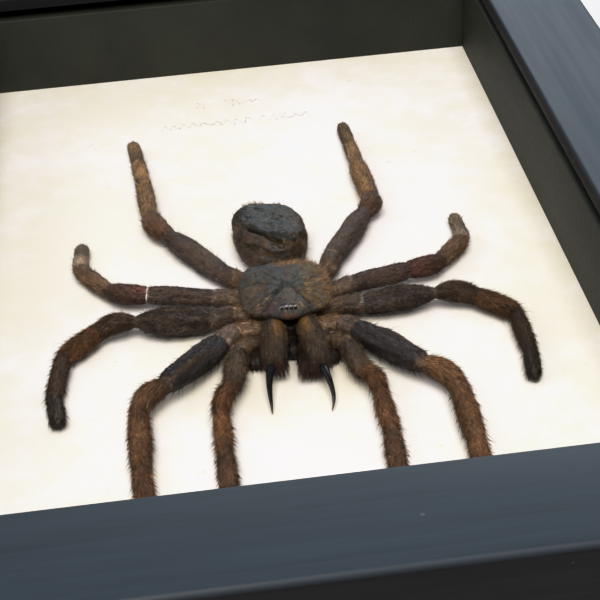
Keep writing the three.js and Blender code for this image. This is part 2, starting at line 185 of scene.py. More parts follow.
# for each light: place and size in metres, power and colour
lights = {"light_over": ((0.06, 0.72, 1.14), (0.75, 0.75), 21.4, (1.0, 0.985, 0.97)),
          "light_behind": ((-0.4, -1.0, 0.6), (1.3, 0.7), 9.6, (0.84, 0.95, 1.05)),
          "light_beside": ((0.95, 0.1, 0.75), (0.8, 0.8), 3.2, (1.0, 0.98, 0.95))}
floorLook = {"size": 6, "drop": 0.0002, "colour": tone(244, 243, 247), "roughness": 0.8}


def placeCamera():
    look = Vector(stand["cameraLook"]).normalized()
    right = look.cross(Vector(stand["cameraUp"])).normalized()
    up = right.cross(look)
    lean = stand["cameraLean"]
    across = right * math.cos(lean) + up * math.sin(lean)
    over = up * math.cos(lean) - right * math.sin(lean)
    data = bpy.data.cameras.new("camera")
    data.lens = stand["lens"]
    data.clip_start, data.clip_end = stand["clip"]
    camera = bpy.data.objects.new("camera", data)
    bpy.context.scene.collection.objects.link(camera)
    turn = Matrix((across, over, -look)).transposed().to_4x4()
    camera.matrix_world = Matrix.Translation(Vector(stand["cameraPlace"]) * mm) @ turn
    bpy.context.scene.camera = camera


def softLight(name, place, size, power, colour):
    data = bpy.data.lights.new(name, "AREA")
    data.shape, data.size, data.size_y = "RECTANGLE", size[0], size[1]
    data.energy, data.color = power, colour
    light = bpy.data.objects.new(name, data)
    bpy.context.scene.collection.objects.link(light)
    light.location = place
    light.rotation_euler = (-Vector(place)).to_track_quat("-Z", "Y").to_euler()


def lightRoom():         # a pale room that is darker on the camera's side
    world = bpy.data.worlds.new("room")
    world.use_nodes = True
    tree = world.node_tree
    give = tree.nodes["Background"]
    place = tree.nodes.new("ShaderNodeTexCoord")
    split = tree.nodes.new("ShaderNodeSeparateXYZ")
    ramp = tree.nodes.new("ShaderNodeMapRange")
    tint = tree.nodes.new("ShaderNodeMixRGB")
    tree.links.new(place.outputs["Generated"], split.inputs[0])
    tree.links.new(split.outputs["Y"], ramp.inputs["Value"])
    ramp.inputs["From Min"].default_value, ramp.inputs["From Max"].default_value = -0.5, 0.75
    tint.inputs[1].default_value = (1.0, 1.0, 1.0, 1)
    tint.inputs[2].default_value = (stand["darkSide"], stand["darkSide"], stand["darkSide"] * 1.03, 1)
    tree.links.new(ramp.outputs[0], tint.inputs[0])
    tree.links.new(tint.outputs[0], give.inputs["Color"])
    give.inputs["Strength"].default_value = stand["roomLight"]
    bpy.context.scene.world = world


def layFloor():
    bpy.ops.mesh.primitive_plane_add(size=floorLook["size"], location=(0, 0, -floorLook["drop"]))
    floor = justAdded("floor")
    outOfEdit(floor)
    paint = bpy.data.materials.new("paleFloor")
    paint.use_nodes = True
    shader = paint.node_tree.nodes["Principled BSDF"]
    shader.inputs["Base Color"].default_value = floorLook["colour"]
    shader.inputs["Roughness"].default_value = floorLook["roughness"]
    floor.data.materials.append(paint)
    floor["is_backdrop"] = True


def printLook():         # the tones of a print: deep darks, and whites that roll off gently
    view = bpy.context.scene.view_settings
    view.view_transform = "Standard"
    view.use_curve_mapping = True
    mapping = view.curve_mapping
    mapping.use_clip = False
    curve = mapping.curves[3]
    ends = [stand["print"][0], stand["print"][-1]]
    for point, end in zip(curve.points, ends):
        point.location = end
    for x, y in stand["print"][1:-1]:
        curve.points.new(x, y)
    mapping.update()


placeCamera()
for name, (place, size, power, colour) in lights.items():
    softLight(name, place, size, power, colour)
bpy.data.objects["light_behind"].visible_diffuse = False       # it only lies as a sheen on the rails
lightRoom()
layFloor()
printLook()
print("camera, light and floor are up")


def newGroup(name, inputs, outputs):
    group = bpy.data.node_groups.new(name, "ShaderNodeTree")
    kinds = {"value": "NodeSocketFloat", "colour": "NodeSocketColor", "vector": "NodeSocketVector"}
    for label, kind, start in inputs:
        socket = group.interface.new_socket(label, in_out="INPUT", socket_type=kinds[kind])
        if start is not None:
            socket.default_value = start
    for label, kind in outputs:
        group.interface.new_socket(label, in_out="OUTPUT", socket_type=kinds[kind])
    return group, group.nodes.new("NodeGroupInput"), group.nodes.new("NodeGroupOutput")


def join(tree, source, target):
    tree.links.new(source, target)


def put(tree, kind, **settings):     # a node, its settings, and its numbered or named inputs
    node = tree.nodes.new("ShaderNode" + kind)
    for key, value in settings.items():
        if key == "inputs":
            for socket, given in value.items():
                if isinstance(given, bpy.types.NodeSocket):
                    tree.links.new(given, node.inputs[socket])
                else:
                    node.inputs[socket].default_value = given
        else:
            setattr(node, key, value)
    return node


def math2(tree, operation, first, second):
    return put(tree, "Math", operation=operation, inputs={0: first, 1: second}).outputs[0]


def times(tree, first, second):
    return math2(tree, "MULTIPLY", first, second)


def plus(tree, first, second):
    return math2(tree, "ADD", first, second)


def minus(tree, first, second):
    return math2(tree, "SUBTRACT", first, second)


def noiseAt(tree, vector, scale, detail=3.0, rough=0.55, stretch=None, twist=0.0):
    if stretch:
        vector = put(tree, "Mapping", inputs={"Vector": vector, "Scale": stretch}).outputs[0]
    made = put(tree, "TexNoise", inputs={"Vector": vector, "Scale": scale, "Detail": detail,
                                         "Roughness": rough, "Distortion": twist})
    return made.outputs["Fac"]


def ranged(tree, value, low, high, toLow=0.0, toHigh=1.0):
    made = put(tree, "MapRange", inputs={"Value": value, "From Min": low, "From Max": high,
                                         "To Min": toLow, "To Max": toHigh})
    return made.outputs["Result"]


def blendColour(tree, share, first, second):
    return put(tree, "MixRGB", inputs={0: share, 1: first, 2: second}).outputs[0]


def bump(tree, height, distance, strength=1.0):
    made = put(tree, "Bump", inputs={"Height": height, "Distance": distance, "Strength": strength})
    return made.outputs["Normal"]


def mottleGroup():       # soft clouds of one colour in another, at three sizes
    group, given, out = newGroup(
        "mottle", [("Vector", "vector", None), ("Size", "value", 60.0), ("Ground", "colour", None),
                   ("Cloud", "colour", None), ("Fleck", "colour", None), ("Amount", "value", 0.5)],
        [("Color", "colour"), ("Mask", "value")])
    take = given.outputs
    broad = noiseAt(group, take["Vector"], take["Size"], 4.0, 0.6)
    fine = noiseAt(group, take["Vector"], times(group, take["Size"], 5.5), 3.0, 0.65)
    cloud = ranged(group, plus(group, broad, times(group, fine, 0.45)), 0.58, 0.86)
    colour = blendColour(group, times(group, cloud, take["Amount"]), take["Ground"], take["Cloud"])
    spot = noiseAt(group, take["Vector"], times(group, take["Size"], 14.0), 2.0, 0.5)
    flecks = ranged(group, spot, 0.70, 0.80)
    join(group, blendColour(group, flecks, colour, take["Fleck"]), out.inputs["Color"])
    join(group, cloud, out.inputs["Mask"])
    return group


def strandGroup():       # fine lines along the X of the vector, for grain and combed hair
    group, given, out = newGroup(
        "strands", [("Vector", "vector", None), ("Size", "value", 900.0), ("Length", "value", 30.0)],
        [("Mask", "value"), ("Height", "value")])
    take = given.outputs
    squeeze = put(group, "CombineXYZ",
                  inputs={0: math2(group, "DIVIDE", 1.0, take["Length"]), 1: 1.0, 2: 1.0})
    combed = put(group, "VectorMath", operation="MULTIPLY",
                 inputs={0: take["Vector"], 1: squeeze.outputs[0]}).outputs[0]
    lines = noiseAt(group, combed, take["Size"], 3.0, 0.6)
    broad = noiseAt(group, combed, times(group, take["Size"], 0.3), 2.0, 0.5)
    both = plus(group, times(group, lines, 0.6), times(group, broad, 0.4))
    join(group, ranged(group, both, 0.36, 0.64), out.inputs["Mask"])
    join(group, both, out.inputs["Height"])
    return group


def wrinkleGroup():      # leathery folds and pores of a dried skin
    group, given, out = newGroup(
        "wrinkles", [("Vector", "vector", None), ("Size", "value", 900.0), ("Pores", "value", 3500.0)],
        [("Height", "value"), ("Mask", "value")])
    take = given.outputs
    bent = noiseAt(group, take["Vector"], times(group, take["Size"], 0.6), 3.0, 0.6, twist=0.4)
    ridge = math2(group, "ABSOLUTE", minus(group, bent, 0.5), 0.0)
    folds = ranged(group, ridge, 0.0, 0.12)
    pores = put(group, "TexVoronoi",
                inputs={"Vector": take["Vector"], "Scale": take["Pores"]}).outputs["Distance"]
    grain = noiseAt(group, take["Vector"], take["Pores"], 2.0, 0.6)
    height = plus(group, times(group, folds, 0.6),
                  plus(group, times(group, pores, 0.25), times(group, grain, 0.3)))
    join(group, height, out.inputs["Height"])
    join(group, folds, out.inputs["Mask"])
    return group


def dustGroup():         # sparse pale specks that have settled on a surface
    group, given, out = newGroup(
        "dust", [("Vector", "vector", None), ("Size", "value", 260.0), ("Share", "value", 0.12)],
        [("Mask", "value")])
    take = given.outputs
    cells = put(group, "TexVoronoi", inputs={"Vector": take["Vector"], "Scale": take["Size"]})
    speck = ranged(group, cells.outputs["Distance"], 0.05, 0.09, 1.0, 0.0)
    chosen = put(group, "SeparateColor", inputs={0: cells.outputs["Color"]}).outputs[0]
    some = math2(group, "LESS_THAN", chosen, take["Share"])
    join(group, times(group, speck, some), out.inputs["Mask"])
    return group


groups = {"mottle": mottleGroup(), "strands": strandGroup(), "wrinkles": wrinkleGroup(),
          "dust": dustGroup()}


def useGroup(tree, name, **inputs):
    node = tree.nodes.new("ShaderNodeGroup")
    node.node_tree = groups[name]
    for label, given in inputs.items():
        if isinstance(given, bpy.types.NodeSocket):
            tree.links.new(given, node.inputs[label])
        else:
            node.inputs[label].default_value = given
    return node.outputs


def newFinish(name, **values):       # a material, its tree, its shader, and Object coordinates
    material = bpy.data.materials.new(name)
    material.use_nodes = True
    tree = material.node_tree
    shader = tree.nodes["Principled BSDF"]
    for label, given in values.items():
        shader.inputs[label.replace("_", " ")].default_value = given
    place = put(tree, "TexCoord").outputs["Object"]
    return material, tree, shader, place


# side: the darker colour of the rails' sides, painted shade
casePaint = {"colour": tone(39, 48, 57), "worn": tone(47, 59, 69), "side": tone(8, 10, 12),
             "dust": tone(150, 152, 150), "sideTo": 0.0340, "faceFrom": 0.0349, "grainSize": 700.0}
spacerPaint = {"colour": tone(28, 30, 24), "broad": tone(41, 44, 34), "fibre": tone(56, 60, 48)}
# stain: a warm tint round the specimen, partly painted shade
paper = {"ground": tone(252, 245, 244), "cloud": tone(243, 236, 220), "fleck": tone(232, 223, 201),
         "stain": tone(228, 216, 184), "aged": tone(232, 224, 203), "spot": tone(150, 140, 120),
         "ink": tone(150, 142, 138)}
board = {"ground": tone(146, 116, 78), "cloud": tone(112, 86, 56), "fleck": tone(178, 150, 110)}
steel = {"bright": tone(168, 170, 172), "stain": tone(120, 116, 108)}


def paintedWood(name, quarterTurn):      # dark satin paint over long grain, the grain along the rail
    material, tree, shader, place = newFinish(name, Specular_IOR_Level=0.3)
    turned = put(tree, "Mapping", inputs={
        "Vector": place, "Rotation": (0, 0, math.radians(90 if quarterTurn else 0))}).outputs[0]
    grain = useGroup(tree, "strands", Vector=turned, Size=casePaint["grainSize"], Length=26.0)
    broad = noiseAt(tree, turned, 34.0, 3.0, 0.5, stretch=(0.35, 1, 1))
    dust = useGroup(tree, "dust", Vector=place, Size=210.0, Share=0.10)
    tint = blendColour(tree, grain["Mask"], casePaint["colour"], casePaint["worn"])
    height = put(tree, "SeparateXYZ", inputs={0: place}).outputs["Z"]
    # the sides are duller than the face and painted darker, which is painted shade
    face = ranged(tree, height, casePaint["sideTo"], casePaint["faceFrom"])
    tint = blendColour(tree, face, casePaint["side"], tint)
    tint = blendColour(tree, ranged(tree, dust["Mask"], 0, 1, 0.0, 0.18), tint, casePaint["dust"])
    join(tree, tint, shader.inputs["Base Color"])
    rough = plus(tree, ranged(tree, grain["Mask"], 0, 1, 0.44, 0.54),
                 ranged(tree, broad, 0.3, 0.7, -0.04, 0.06))
    join(tree, plus(tree, rough, ranged(tree, face, 0, 1, 0.3, 0.0)), shader.inputs["Roughness"])
    height = plus(tree, times(tree, grain["Height"], 0.5), times(tree, broad, 1.2))
    join(tree, bump(tree, height, 0.00022, 0.55), shader.inputs["Normal"])
    return material


def spacerBoard():
    material, tree, shader, place = newFinish("spacerBoard", Specular_IOR_Level=0.35)
    fibre = noiseAt(tree, place, 1500.0, 3.0, 0.6, stretch=(1, 1, 0.4))
    broad = noiseAt(tree, place, 40.0, 3.0, 0.55)
    tint = blendColour(tree, ranged(tree, broad, 0.35, 0.7), spacerPaint["colour"], spacerPaint["broad"])
    join(tree, blendColour(tree, ranged(tree, fibre, 0.6, 0.8, 0, 0.5), tint, spacerPaint["fibre"]),
         shader.inputs["Base Color"])
    join(tree, ranged(tree, fibre, 0.3, 0.7, 0.55, 0.7), shader.inputs["Roughness"])
    join(tree, bump(tree, fibre, 0.0001, 0.5), shader.inputs["Normal"])
    return material


penLines = [(-0.0665, -0.0185, 0.0185), (-0.0766, -0.0073, 0.0091)]      # y, and from x to x
penWave = {"pitch": 0.0026, "height": 0.0016, "width": 0.00034, "share": 0.6}


def penStrokes(tree, split, place):      # two faint wavy lines without letters, broken into words
    x, y = split.outputs["X"], split.outputs["Y"]
    uneven = noiseAt(tree, place, 260.0, 2.0, 0.5)
    turn = plus(tree, times(tree, x, 2 * math.pi / penWave["pitch"]), times(tree, uneven, 14.0))
    tall = times(tree, ranged(tree, noiseAt(tree, place, 180.0, 0.0, 0.5), 0.3, 0.75, 0.3, 1.0),
                 penWave["height"])
    wave = times(tree, math2(tree, "SINE", turn, 0.0), tall)
    words = noiseAt(tree, place, 95.0, 0.0, 0.5)
    masks = []
    for level, low, high in penLines:
        off = math2(tree, "ABSOLUTE", minus(tree, minus(tree, y, level), wave), 0.0)
        line = ranged(tree, off, penWave["width"], penWave["width"] * 0.3)
        within = times(tree, ranged(tree, x, low, low + 0.0004), ranged(tree, x, high, high - 0.0004))
        masks.append(times(tree, line, within))
    ink = times(tree, math2(tree, "MAXIMUM", *masks), ranged(tree, words, 0.36, 0.44))
    return times(tree, ink, penWave["share"])


def parchmentPaper():
    material, tree, shader, place = newFinish("parchmentPaper", Roughness=0.88, Specular_IOR_Level=0.3)
    colour = useGroup(tree, "mottle", Vector=place, Size=34.0, Ground=paper["ground"], Cloud=paper["cloud"],
                      Fleck=paper["fleck"], Amount=0.85)
    edge = put(tree, "SeparateXYZ", inputs={0: place})
    sideways = math2(tree, "ABSOLUTE", edge.outputs["X"], 0.0)
    lengthways = math2(tree, "ABSOLUTE", edge.outputs["Y"], 0.0)
    nearEdge = math2(tree, "MAXIMUM", ranged(tree, sideways, 0.034, 0.062),
                     ranged(tree, lengthways, 0.066, 0.095))
    aged = times(tree, nearEdge, ranged(tree, colour["Mask"], 0, 1, 0.35, 0.9))
    tint = blendColour(tree, aged, colour["Color"], paper["aged"])
    # warm tint round the specimen: partly a stain that the drying specimen left, partly painted shade round
    # it
    near = put(tree, "Mapping",
               inputs={"Vector": place, "Location": (0.085, -1.02, -0.28),
                       "Scale": (30.0, 34.0, 30.0)}).outputs[0]
    away = put(tree, "VectorMath", operation="LENGTH", inputs={0: near}).outputs["Value"]
    cloud = noiseAt(tree, place, 70.0, 3.0, 0.6)
    stain = times(tree, ranged(tree, away, 1.0, 0.1), ranged(tree, cloud, 0.25, 0.7, 0.35, 1.0))
    tint = blendColour(tree, times(tree, stain, 0.8), tint, paper["stain"])
    spots = useGroup(tree, "dust", Vector=place, Size=120.0, Share=0.05)
    tint = blendColour(tree, ranged(tree, spots["Mask"], 0, 1, 0, 0.2), tint, paper["spot"])
    tint = blendColour(tree, penStrokes(tree, edge, place), tint, paper["ink"])
    join(tree, tint, shader.inputs["Base Color"])
    fibre = noiseAt(tree, place, 1400.0, 4.0, 0.65)
    wave = noiseAt(tree, place, 26.0, 2.0, 0.5)
    height = plus(tree, times(tree, fibre, 0.3), wave)
    join(tree, bump(tree, height, 0.00025, 0.4), shader.inputs["Normal"])
    return material


def backingBoard():
    material, tree, shader, place = newFinish("backingBoard", Specular_IOR_Level=0.3)
    colour = useGroup(tree, "mottle", Vector=place, Size=180.0, Ground=board["ground"],
                      Cloud=board["cloud"], Fleck=board["fleck"], Amount=0.7)
    fibre = noiseAt(tree, place, 2200.0, 4.0, 0.7)
    join(tree, blendColour(tree, ranged(tree, fibre, 0.55, 0.75, 0, 0.5), colour["Color"], board["cloud"]),
         shader.inputs["Base Color"])
    join(tree, ranged(tree, fibre, 0.3, 0.7, 0.75, 0.92), shader.inputs["Roughness"])
    join(tree, bump(tree, fibre, 0.00015, 0.6), shader.inputs["Normal"])
    return material


def springSteel():
    material, tree, shader, place = newFinish("springSteel", Metallic=1.0)
    brushed = useGroup(tree, "strands", Vector=place, Size=2400.0, Length=18.0)
    stain = noiseAt(tree, place, 420.0, 4.0, 0.6)
    tint = blendColour(tree, ranged(tree, stain, 0.52, 0.72), steel["bright"], steel["stain"])
    join(tree, tint, shader.inputs["Base Color"])
    join(tree, plus(tree, ranged(tree, brushed["Mask"], 0, 1, 0.26, 0.42),
                    ranged(tree, stain, 0.5, 0.8, 0, 0.2)),
         shader.inputs["Roughness"])
    join(tree, bump(tree, brushed["Height"], 0.00004, 0.5), shader.inputs["Normal"])
    return material


railAcross, railAlong = paintedWood("blackRailAcross", False), paintedWood("blackRailAlong", True)
spacerFinish, paperFinish = spacerBoard(), parchmentPaper()
boardFinish, steelFinish = backingBoard(), springSteel()

for name, material in {"parchment_sheet": paperFinish, "backing_board": boardFinish,
                       "sawtooth_hanger": steelFinish, "hanger_nail_left": steelFinish,
                       "hanger_nail_right": steelFinish,
                       **{f"retaining_point_{i}": steelFinish for i in range(1, 7)}}.items():
    nodes[name].data.materials.clear()
    nodes[name].data.materials.append(material)
print("case finishes are made")

case = {"halfWidth": 83.2, "halfLength": 116.2, "depth": 35, "wall": 15, "lipReach": 6.2, "lipThick": 3.7,
        "outerRound": 1.5, "innerRound": 0.7, "backChamfer": 0.6, "underRound": 0.25, "mitreGap": 0.07,
        "smoothUnder": 30}
spacer = {"halfWidth": 67.9, "halfLength": 100.9, "thick": 5.9, "low": 9.4, "high": 28.7, "round": 0.5}
sides = [("bottom", 0), ("right", 90), ("top", 180), ("left", -90)]


def halves(sizes, turn):     # half along and half across a bar on this side
    both = (sizes["halfWidth"], sizes["halfLength"])
    return both if turn in (0, 180) else both[::-1]


def finishBar(bar, halfAlong, halfAcross, turn):     # both ends cut at 45 degrees, then turned to its side
    for way in (1, -1):
        bpy.ops.mesh.select_all(action="SELECT")
        bpy.ops.mesh.bisect(plane_co=(way * (halfAlong - case["mitreGap"]) * mm, -halfAcross * mm, 0),
                            plane_no=(way, 1, 0), use_fill=True, clear_outer=True)
    bpy.ops.mesh.select_all(action="SELECT")
    bpy.ops.transform.rotate(value=-math.radians(turn), orient_axis="Z", orient_type="GLOBAL",
                             center_override=(0, 0, 0))
    return rounded(outOfEdit(bar), case["smoothUnder"])


def makeRail(side, turn):
    halfAlong, halfAcross = halves(case, turn)
    depth, wall = case["depth"], case["wall"]
    bpy.ops.mesh.primitive_cube_add(size=1, location=(0, (wall / 2 - halfAcross) * mm, depth / 2 * mm),
                                    scale=(2 * halfAlong * mm, wall * mm, depth * mm))
    rail = justAdded(f"rail_{side}")
    underLip = (depth - case["lipThick"]) * mm
    bpy.ops.mesh.bisect(plane_co=(0, 0, underLip), plane_no=(0, 0, 1))
    pick(rail, lambda f: f.normal.y > 0.9 and f.calc_center_median().z > underLip)
    bpy.ops.mesh.extrude_region_move(TRANSFORM_OT_translate={"value": (0, case["lipReach"] * mm, 0)})
    innerY = (wall + case["lipReach"] - halfAcross) * mm
    for y, z, size, steps in ((-halfAcross * mm, depth * mm, case["outerRound"], 6),
                              (innerY, depth * mm, case["innerRound"], 4),
                              (-halfAcross * mm, 0, case["backChamfer"], 1),
                              (innerY, underLip, case["underRound"], 2)):
        pick(rail, edgeAlong(y, z), "EDGE")
        bpy.ops.mesh.bevel(offset=size * mm, segments=steps, profile=0.5, affect="EDGES")
    finishBar(rail, halfAlong, halfAcross, turn)
    settle(rail, railAcross if turn in (0, 180) else railAlong, "black_frame", f"frame_rail_{side}")


def makeSpacer(side, turn):
    halfAlong, halfAcross = halves(spacer, turn)
    low, high, thick = spacer["low"], spacer["high"], spacer["thick"]
    bpy.ops.mesh.primitive_cube_add(
        size=1, location=(0, (thick / 2 - halfAcross) * mm, (low + high) / 2 * mm),
        scale=(2 * halfAlong * mm, thick * mm, (high - low) * mm))
    strip = justAdded(f"inner_wall_{side}")
    pick(strip, edgeAlong((thick - halfAcross) * mm, high * mm), "EDGE")
    bpy.ops.mesh.bevel(offset=spacer["round"] * mm, segments=3, profile=0.5, affect="EDGES")
    finishBar(strip, halfAlong, halfAcross, turn)
    settle(strip, spacerFinish, "black_spacer", f"spacer_{side}")


for side, turn in sides:
    makeRail(side, turn)
    makeSpacer(side, turn)
print("rails and spacers are cut")


skinMarks = {"groove": tone(24, 19, 15), "ridge": tone(150, 128, 98), "paleBlotch": tone(128, 104, 78),
             "darkBlotch": tone(22, 18, 16), "darkHairs": tone(34, 24, 18), "fangWear": tone(26, 24, 24)}


# dried skin in the colours kept on its points
def skinFinish(name, roughness, poreSize, foldDepth, combed):
    material, tree, shader, place = newFinish(name, Specular_IOR_Level=0.22)
    own = put(tree, "Attribute", attribute_name="tone").outputs["Color"]
    lie = put(tree, "Attribute", attribute_name="lie").outputs["Vector"]
    lines = useGroup(tree, "strands", Vector=lie, Size=3200.0, Length=7.0)
    folds = useGroup(tree, "wrinkles", Vector=place, Size=900.0, Pores=poreSize)
    blotch = noiseAt(tree, place, 420.0, 4.0, 0.65)
    tint = blendColour(tree, ranged(tree, lines["Mask"], 0.45, 0, 0.0, 0.45 * combed), own,
                       skinMarks["groove"])
    tint = blendColour(tree, ranged(tree, lines["Mask"], 0.72, 1, 0.0, 0.3 * combed), tint,
                       skinMarks["ridge"])
    tint = blendColour(tree, ranged(tree, blotch, 0.55, 0.75, 0.0, 0.28), tint, skinMarks["paleBlotch"])
    tint = blendColour(tree, ranged(tree, blotch, 0.42, 0.25, 0.0, 0.5), tint, skinMarks["darkBlotch"])
    join(tree, tint, shader.inputs["Base Color"])
    rough = plus(tree, ranged(tree, blotch, 0.3, 0.7, roughness - 0.1, roughness + 0.12),
                 ranged(tree, own, 0.02, 0.09, -0.2, 0.0))
    join(tree, rough, shader.inputs["Roughness"])
    height = plus(tree, times(tree, lines["Height"], 0.6 * combed), folds["Height"])
    join(tree, bump(tree, height, foldDepth, 0.7), shader.inputs["Normal"])
    return material


def hairFinish():
    material, tree, shader, place = newFinish("bristleHair", Specular_IOR_Level=0.35, Roughness=0.5)
    own = put(tree, "Attribute", attribute_name="tone").outputs["Color"]
    patch = noiseAt(tree, place, 500.0, 2.0, 0.5)
    join(tree, blendColour(tree, ranged(tree, patch, 0.4, 0.75, 0.0, 0.4), own, skinMarks["darkHairs"]),
         shader.inputs["Base Color"])
    return material


def fangFinish():
    material, tree, shader, place = newFinish("glossyFang", Specular_IOR_Level=0.35)
    own = put(tree, "Attribute", attribute_name="tone").outputs["Color"]
    marks = useGroup(tree, "wrinkles", Vector=place, Size=700.0, Pores=4200.0)
    join(tree, blendColour(tree, ranged(tree, marks["Mask"], 0, 1, 0.25, 0.0), own, skinMarks["fangWear"]),
         shader.inputs["Base Color"])
    join(tree, ranged(tree, marks["Mask"], 0, 1, 0.32, 0.2), shader.inputs["Roughness"])
    join(tree, bump(tree, marks["Height"], 0.00003, 0.5), shader.inputs["Normal"])
    return material


limbFinish = skinFinish("limbSkin", 0.66, 4200.0, 0.00014, 1.0)
shellFinish = skinFinish("shellSkin", 0.60, 3600.0, 0.00012, 0.3)
hairMaterial, fangMaterial = hairFinish(), fangFinish()


def unit(ways):
    return ways / np.maximum(np.linalg.norm(ways, axis=1, keepdims=True), 1e-9)


# the share by which a hair thins towards its tip, and how far it stays off the paper in mm
hairShape = {"thins": 0.75, "clear": 0.06}


def growHair(name, roots, ways, curls, lengths, widths, tones, steps=1):
    # each hair is a three-sided taper of a few steps; every array has one row for a hair, in metres
    count = len(roots)
    across = unit(np.cross(ways, [0.31, 0.2, 0.93]))
    over = np.cross(ways, across)
    rings = []
    for step in range(steps):
        along = step / steps
        middle = roots + ways * (lengths * along)[:, None] + curls * (lengths * along ** 2)[:, None]
        for corner in range(3):
            turn = corner * 2 * math.pi / 3
            side = across * math.cos(turn) + over * math.sin(turn)
            rings.append(middle + side * (widths / 2 * (1 - along * hairShape["thins"]))[:, None])
    tip = roots + ways * lengths[:, None] + curls * lengths[:, None]
    places = np.stack(rings + [tip], axis=1)
    places[:, :, 2] = np.maximum(places[:, :, 2], (sheetTop + hairShape["clear"]) * mm)
    each = steps * 3 + 1
    faces = [(0, 2, 1)]
    for step in range(steps - 1):
        low, high = step * 3, step * 3 + 3
        for a, b in ((0, 1), (1, 2), (2, 0)):
            faces += [(low + a, low + b, high + b), (low + a, high + b, high + a)]
    last = (steps - 1) * 3
    faces += [(last, last + 1, each - 1), (last + 1, last + 2, each - 1), (last + 2, last, each - 1)]
    corners = (np.array(faces)[None, :, :] + (np.arange(count) * each)[:, None, None]).reshape(-1)
    mesh = bpy.data.meshes.new(name)
    mesh.vertices.add(count * each)
    mesh.loops.add(len(corners))
    mesh.polygons.add(len(corners) // 3)
    mesh.vertices.foreach_set("co", places.astype(np.float32).ravel())
    mesh.loops.foreach_set("vertex_index", corners.astype(np.int32))
    mesh.polygons.foreach_set("loop_start", np.arange(0, len(corners), 3, dtype=np.int32))
    mesh.update(calc_edges=True)
    hair = bpy.data.objects.new(name, mesh)
    bpy.context.scene.collection.objects.link(hair)
    keep(hair, "tone", "FLOAT_COLOR", np.repeat(tones, each, axis=0))
    columns = int(math.ceil(math.sqrt(count)))       # each hair has a cell of its own in the map
    cell = np.stack([np.arange(count) % columns, np.arange(count) // columns], axis=1)
    spread = np.array([(0.2, 0.2), (0.8, 0.2), (0.5, 0.5)] * steps + [(0.5, 0.8)])
    where = (cell[:, None, :] + spread[None, :, :]) / columns
    layout = mesh.uv_layers.new(name="OFBake")
    layout.data.foreach_set("uv", where.reshape(-1, 2)[corners].astype(np.float32).ravel())
    mesh.shade_smooth()
    return hair


def scatter(piece, density, seed):   # roots on a skin: places, their normals, and each root's nearest point
    mesh = piece.data
    mesh.calc_loop_triangles()
    corners = np.empty(len(mesh.loop_triangles) * 3, np.int32)
    mesh.loop_triangles.foreach_get("vertices", corners)
    corners = corners.reshape(-1, 3)
    places, ways = pointsOf(piece), normalsOf(piece)
    a, b, c = (places[corners[:, i]] for i in range(3))
    area = np.linalg.norm(np.cross(b - a, c - a), axis=1) / 2 / mm ** 2
    wanted = area * density[corners].mean(axis=1)
    pickOne = np.random.default_rng(seed)
    count = int(wanted.sum())
    chosen = pickOne.choice(len(area), size=count, p=wanted / wanted.sum())
    u, v = pickOne.random(count), pickOne.random(count)
    flip = u + v > 1
    u[flip], v[flip] = 1 - u[flip], 1 - v[flip]
    w = 1 - u - v
    roots = a[chosen] * w[:, None] + b[chosen] * u[:, None] + c[chosen] * v[:, None]
    ids = corners[chosen]
    normals = unit(ways[ids[:, 0]] * w[:, None] + ways[ids[:, 1]] * u[:, None]
                   + ways[ids[:, 2]] * v[:, None])
    return roots, normals, ids[:, 0], pickOne


def comb(roots, normals, along, lift, scatterBy, pickOne, patch=2.2):
    # hair directions: along the skin, lifted by an angle, neighbours leaning the same way
    flat = unit(along - normals * (along * normals).sum(axis=1, keepdims=True))
    sideways = np.cross(normals, flat)
    clump = ripple(roots, patch, 3.1) * 1.1 + ripple(roots, patch * 0.35, 9.2) * 0.6
    turn = clump * scatterBy + pickOne.normal(0, scatterBy * 0.45, len(roots))
    heading = flat * np.cos(turn)[:, None] + sideways * np.sin(turn)[:, None]
    rise = np.clip(lift + pickOne.normal(0, 0.16, len(roots)), 0.05, 1.5)
    return heading * np.cos(rise)[:, None] + normals * np.sin(rise)[:, None]


def mixTones(first, second, share):
    return np.asarray(first) * (1 - share)[:, None] + np.asarray(second) * share[:, None]


# keeps its colours and lie, and settles it
def finishSkin(piece, colours, lie, material, slotName, *replaced):
    colours[:, 3] = 1
    keep(piece, "tone", "FLOAT_COLOR", colours)
    keep(piece, "lie", "FLOAT_VECTOR", lie)
    rounded(piece, 180)
    settle(piece, material, slotName, *replaced)


def addHair(name, slotName, roots, ways, curls, lengths, widths, tones, steps=1):
    tones[:, 3] = 1
    settle(growHair(name, roots, ways, curls, lengths, widths, tones, steps), hairMaterial, slotName)


# where each coat's random draws start
seeds = {"limbFur": 50, "limbBristles": 90, "jaw": 300, "spinneret": 400, "mouthpart": 450, "carapace": 500,
         "abdomen": 600}


# each limb's joints from root to tip and the girth of each segment, in mm over the paper

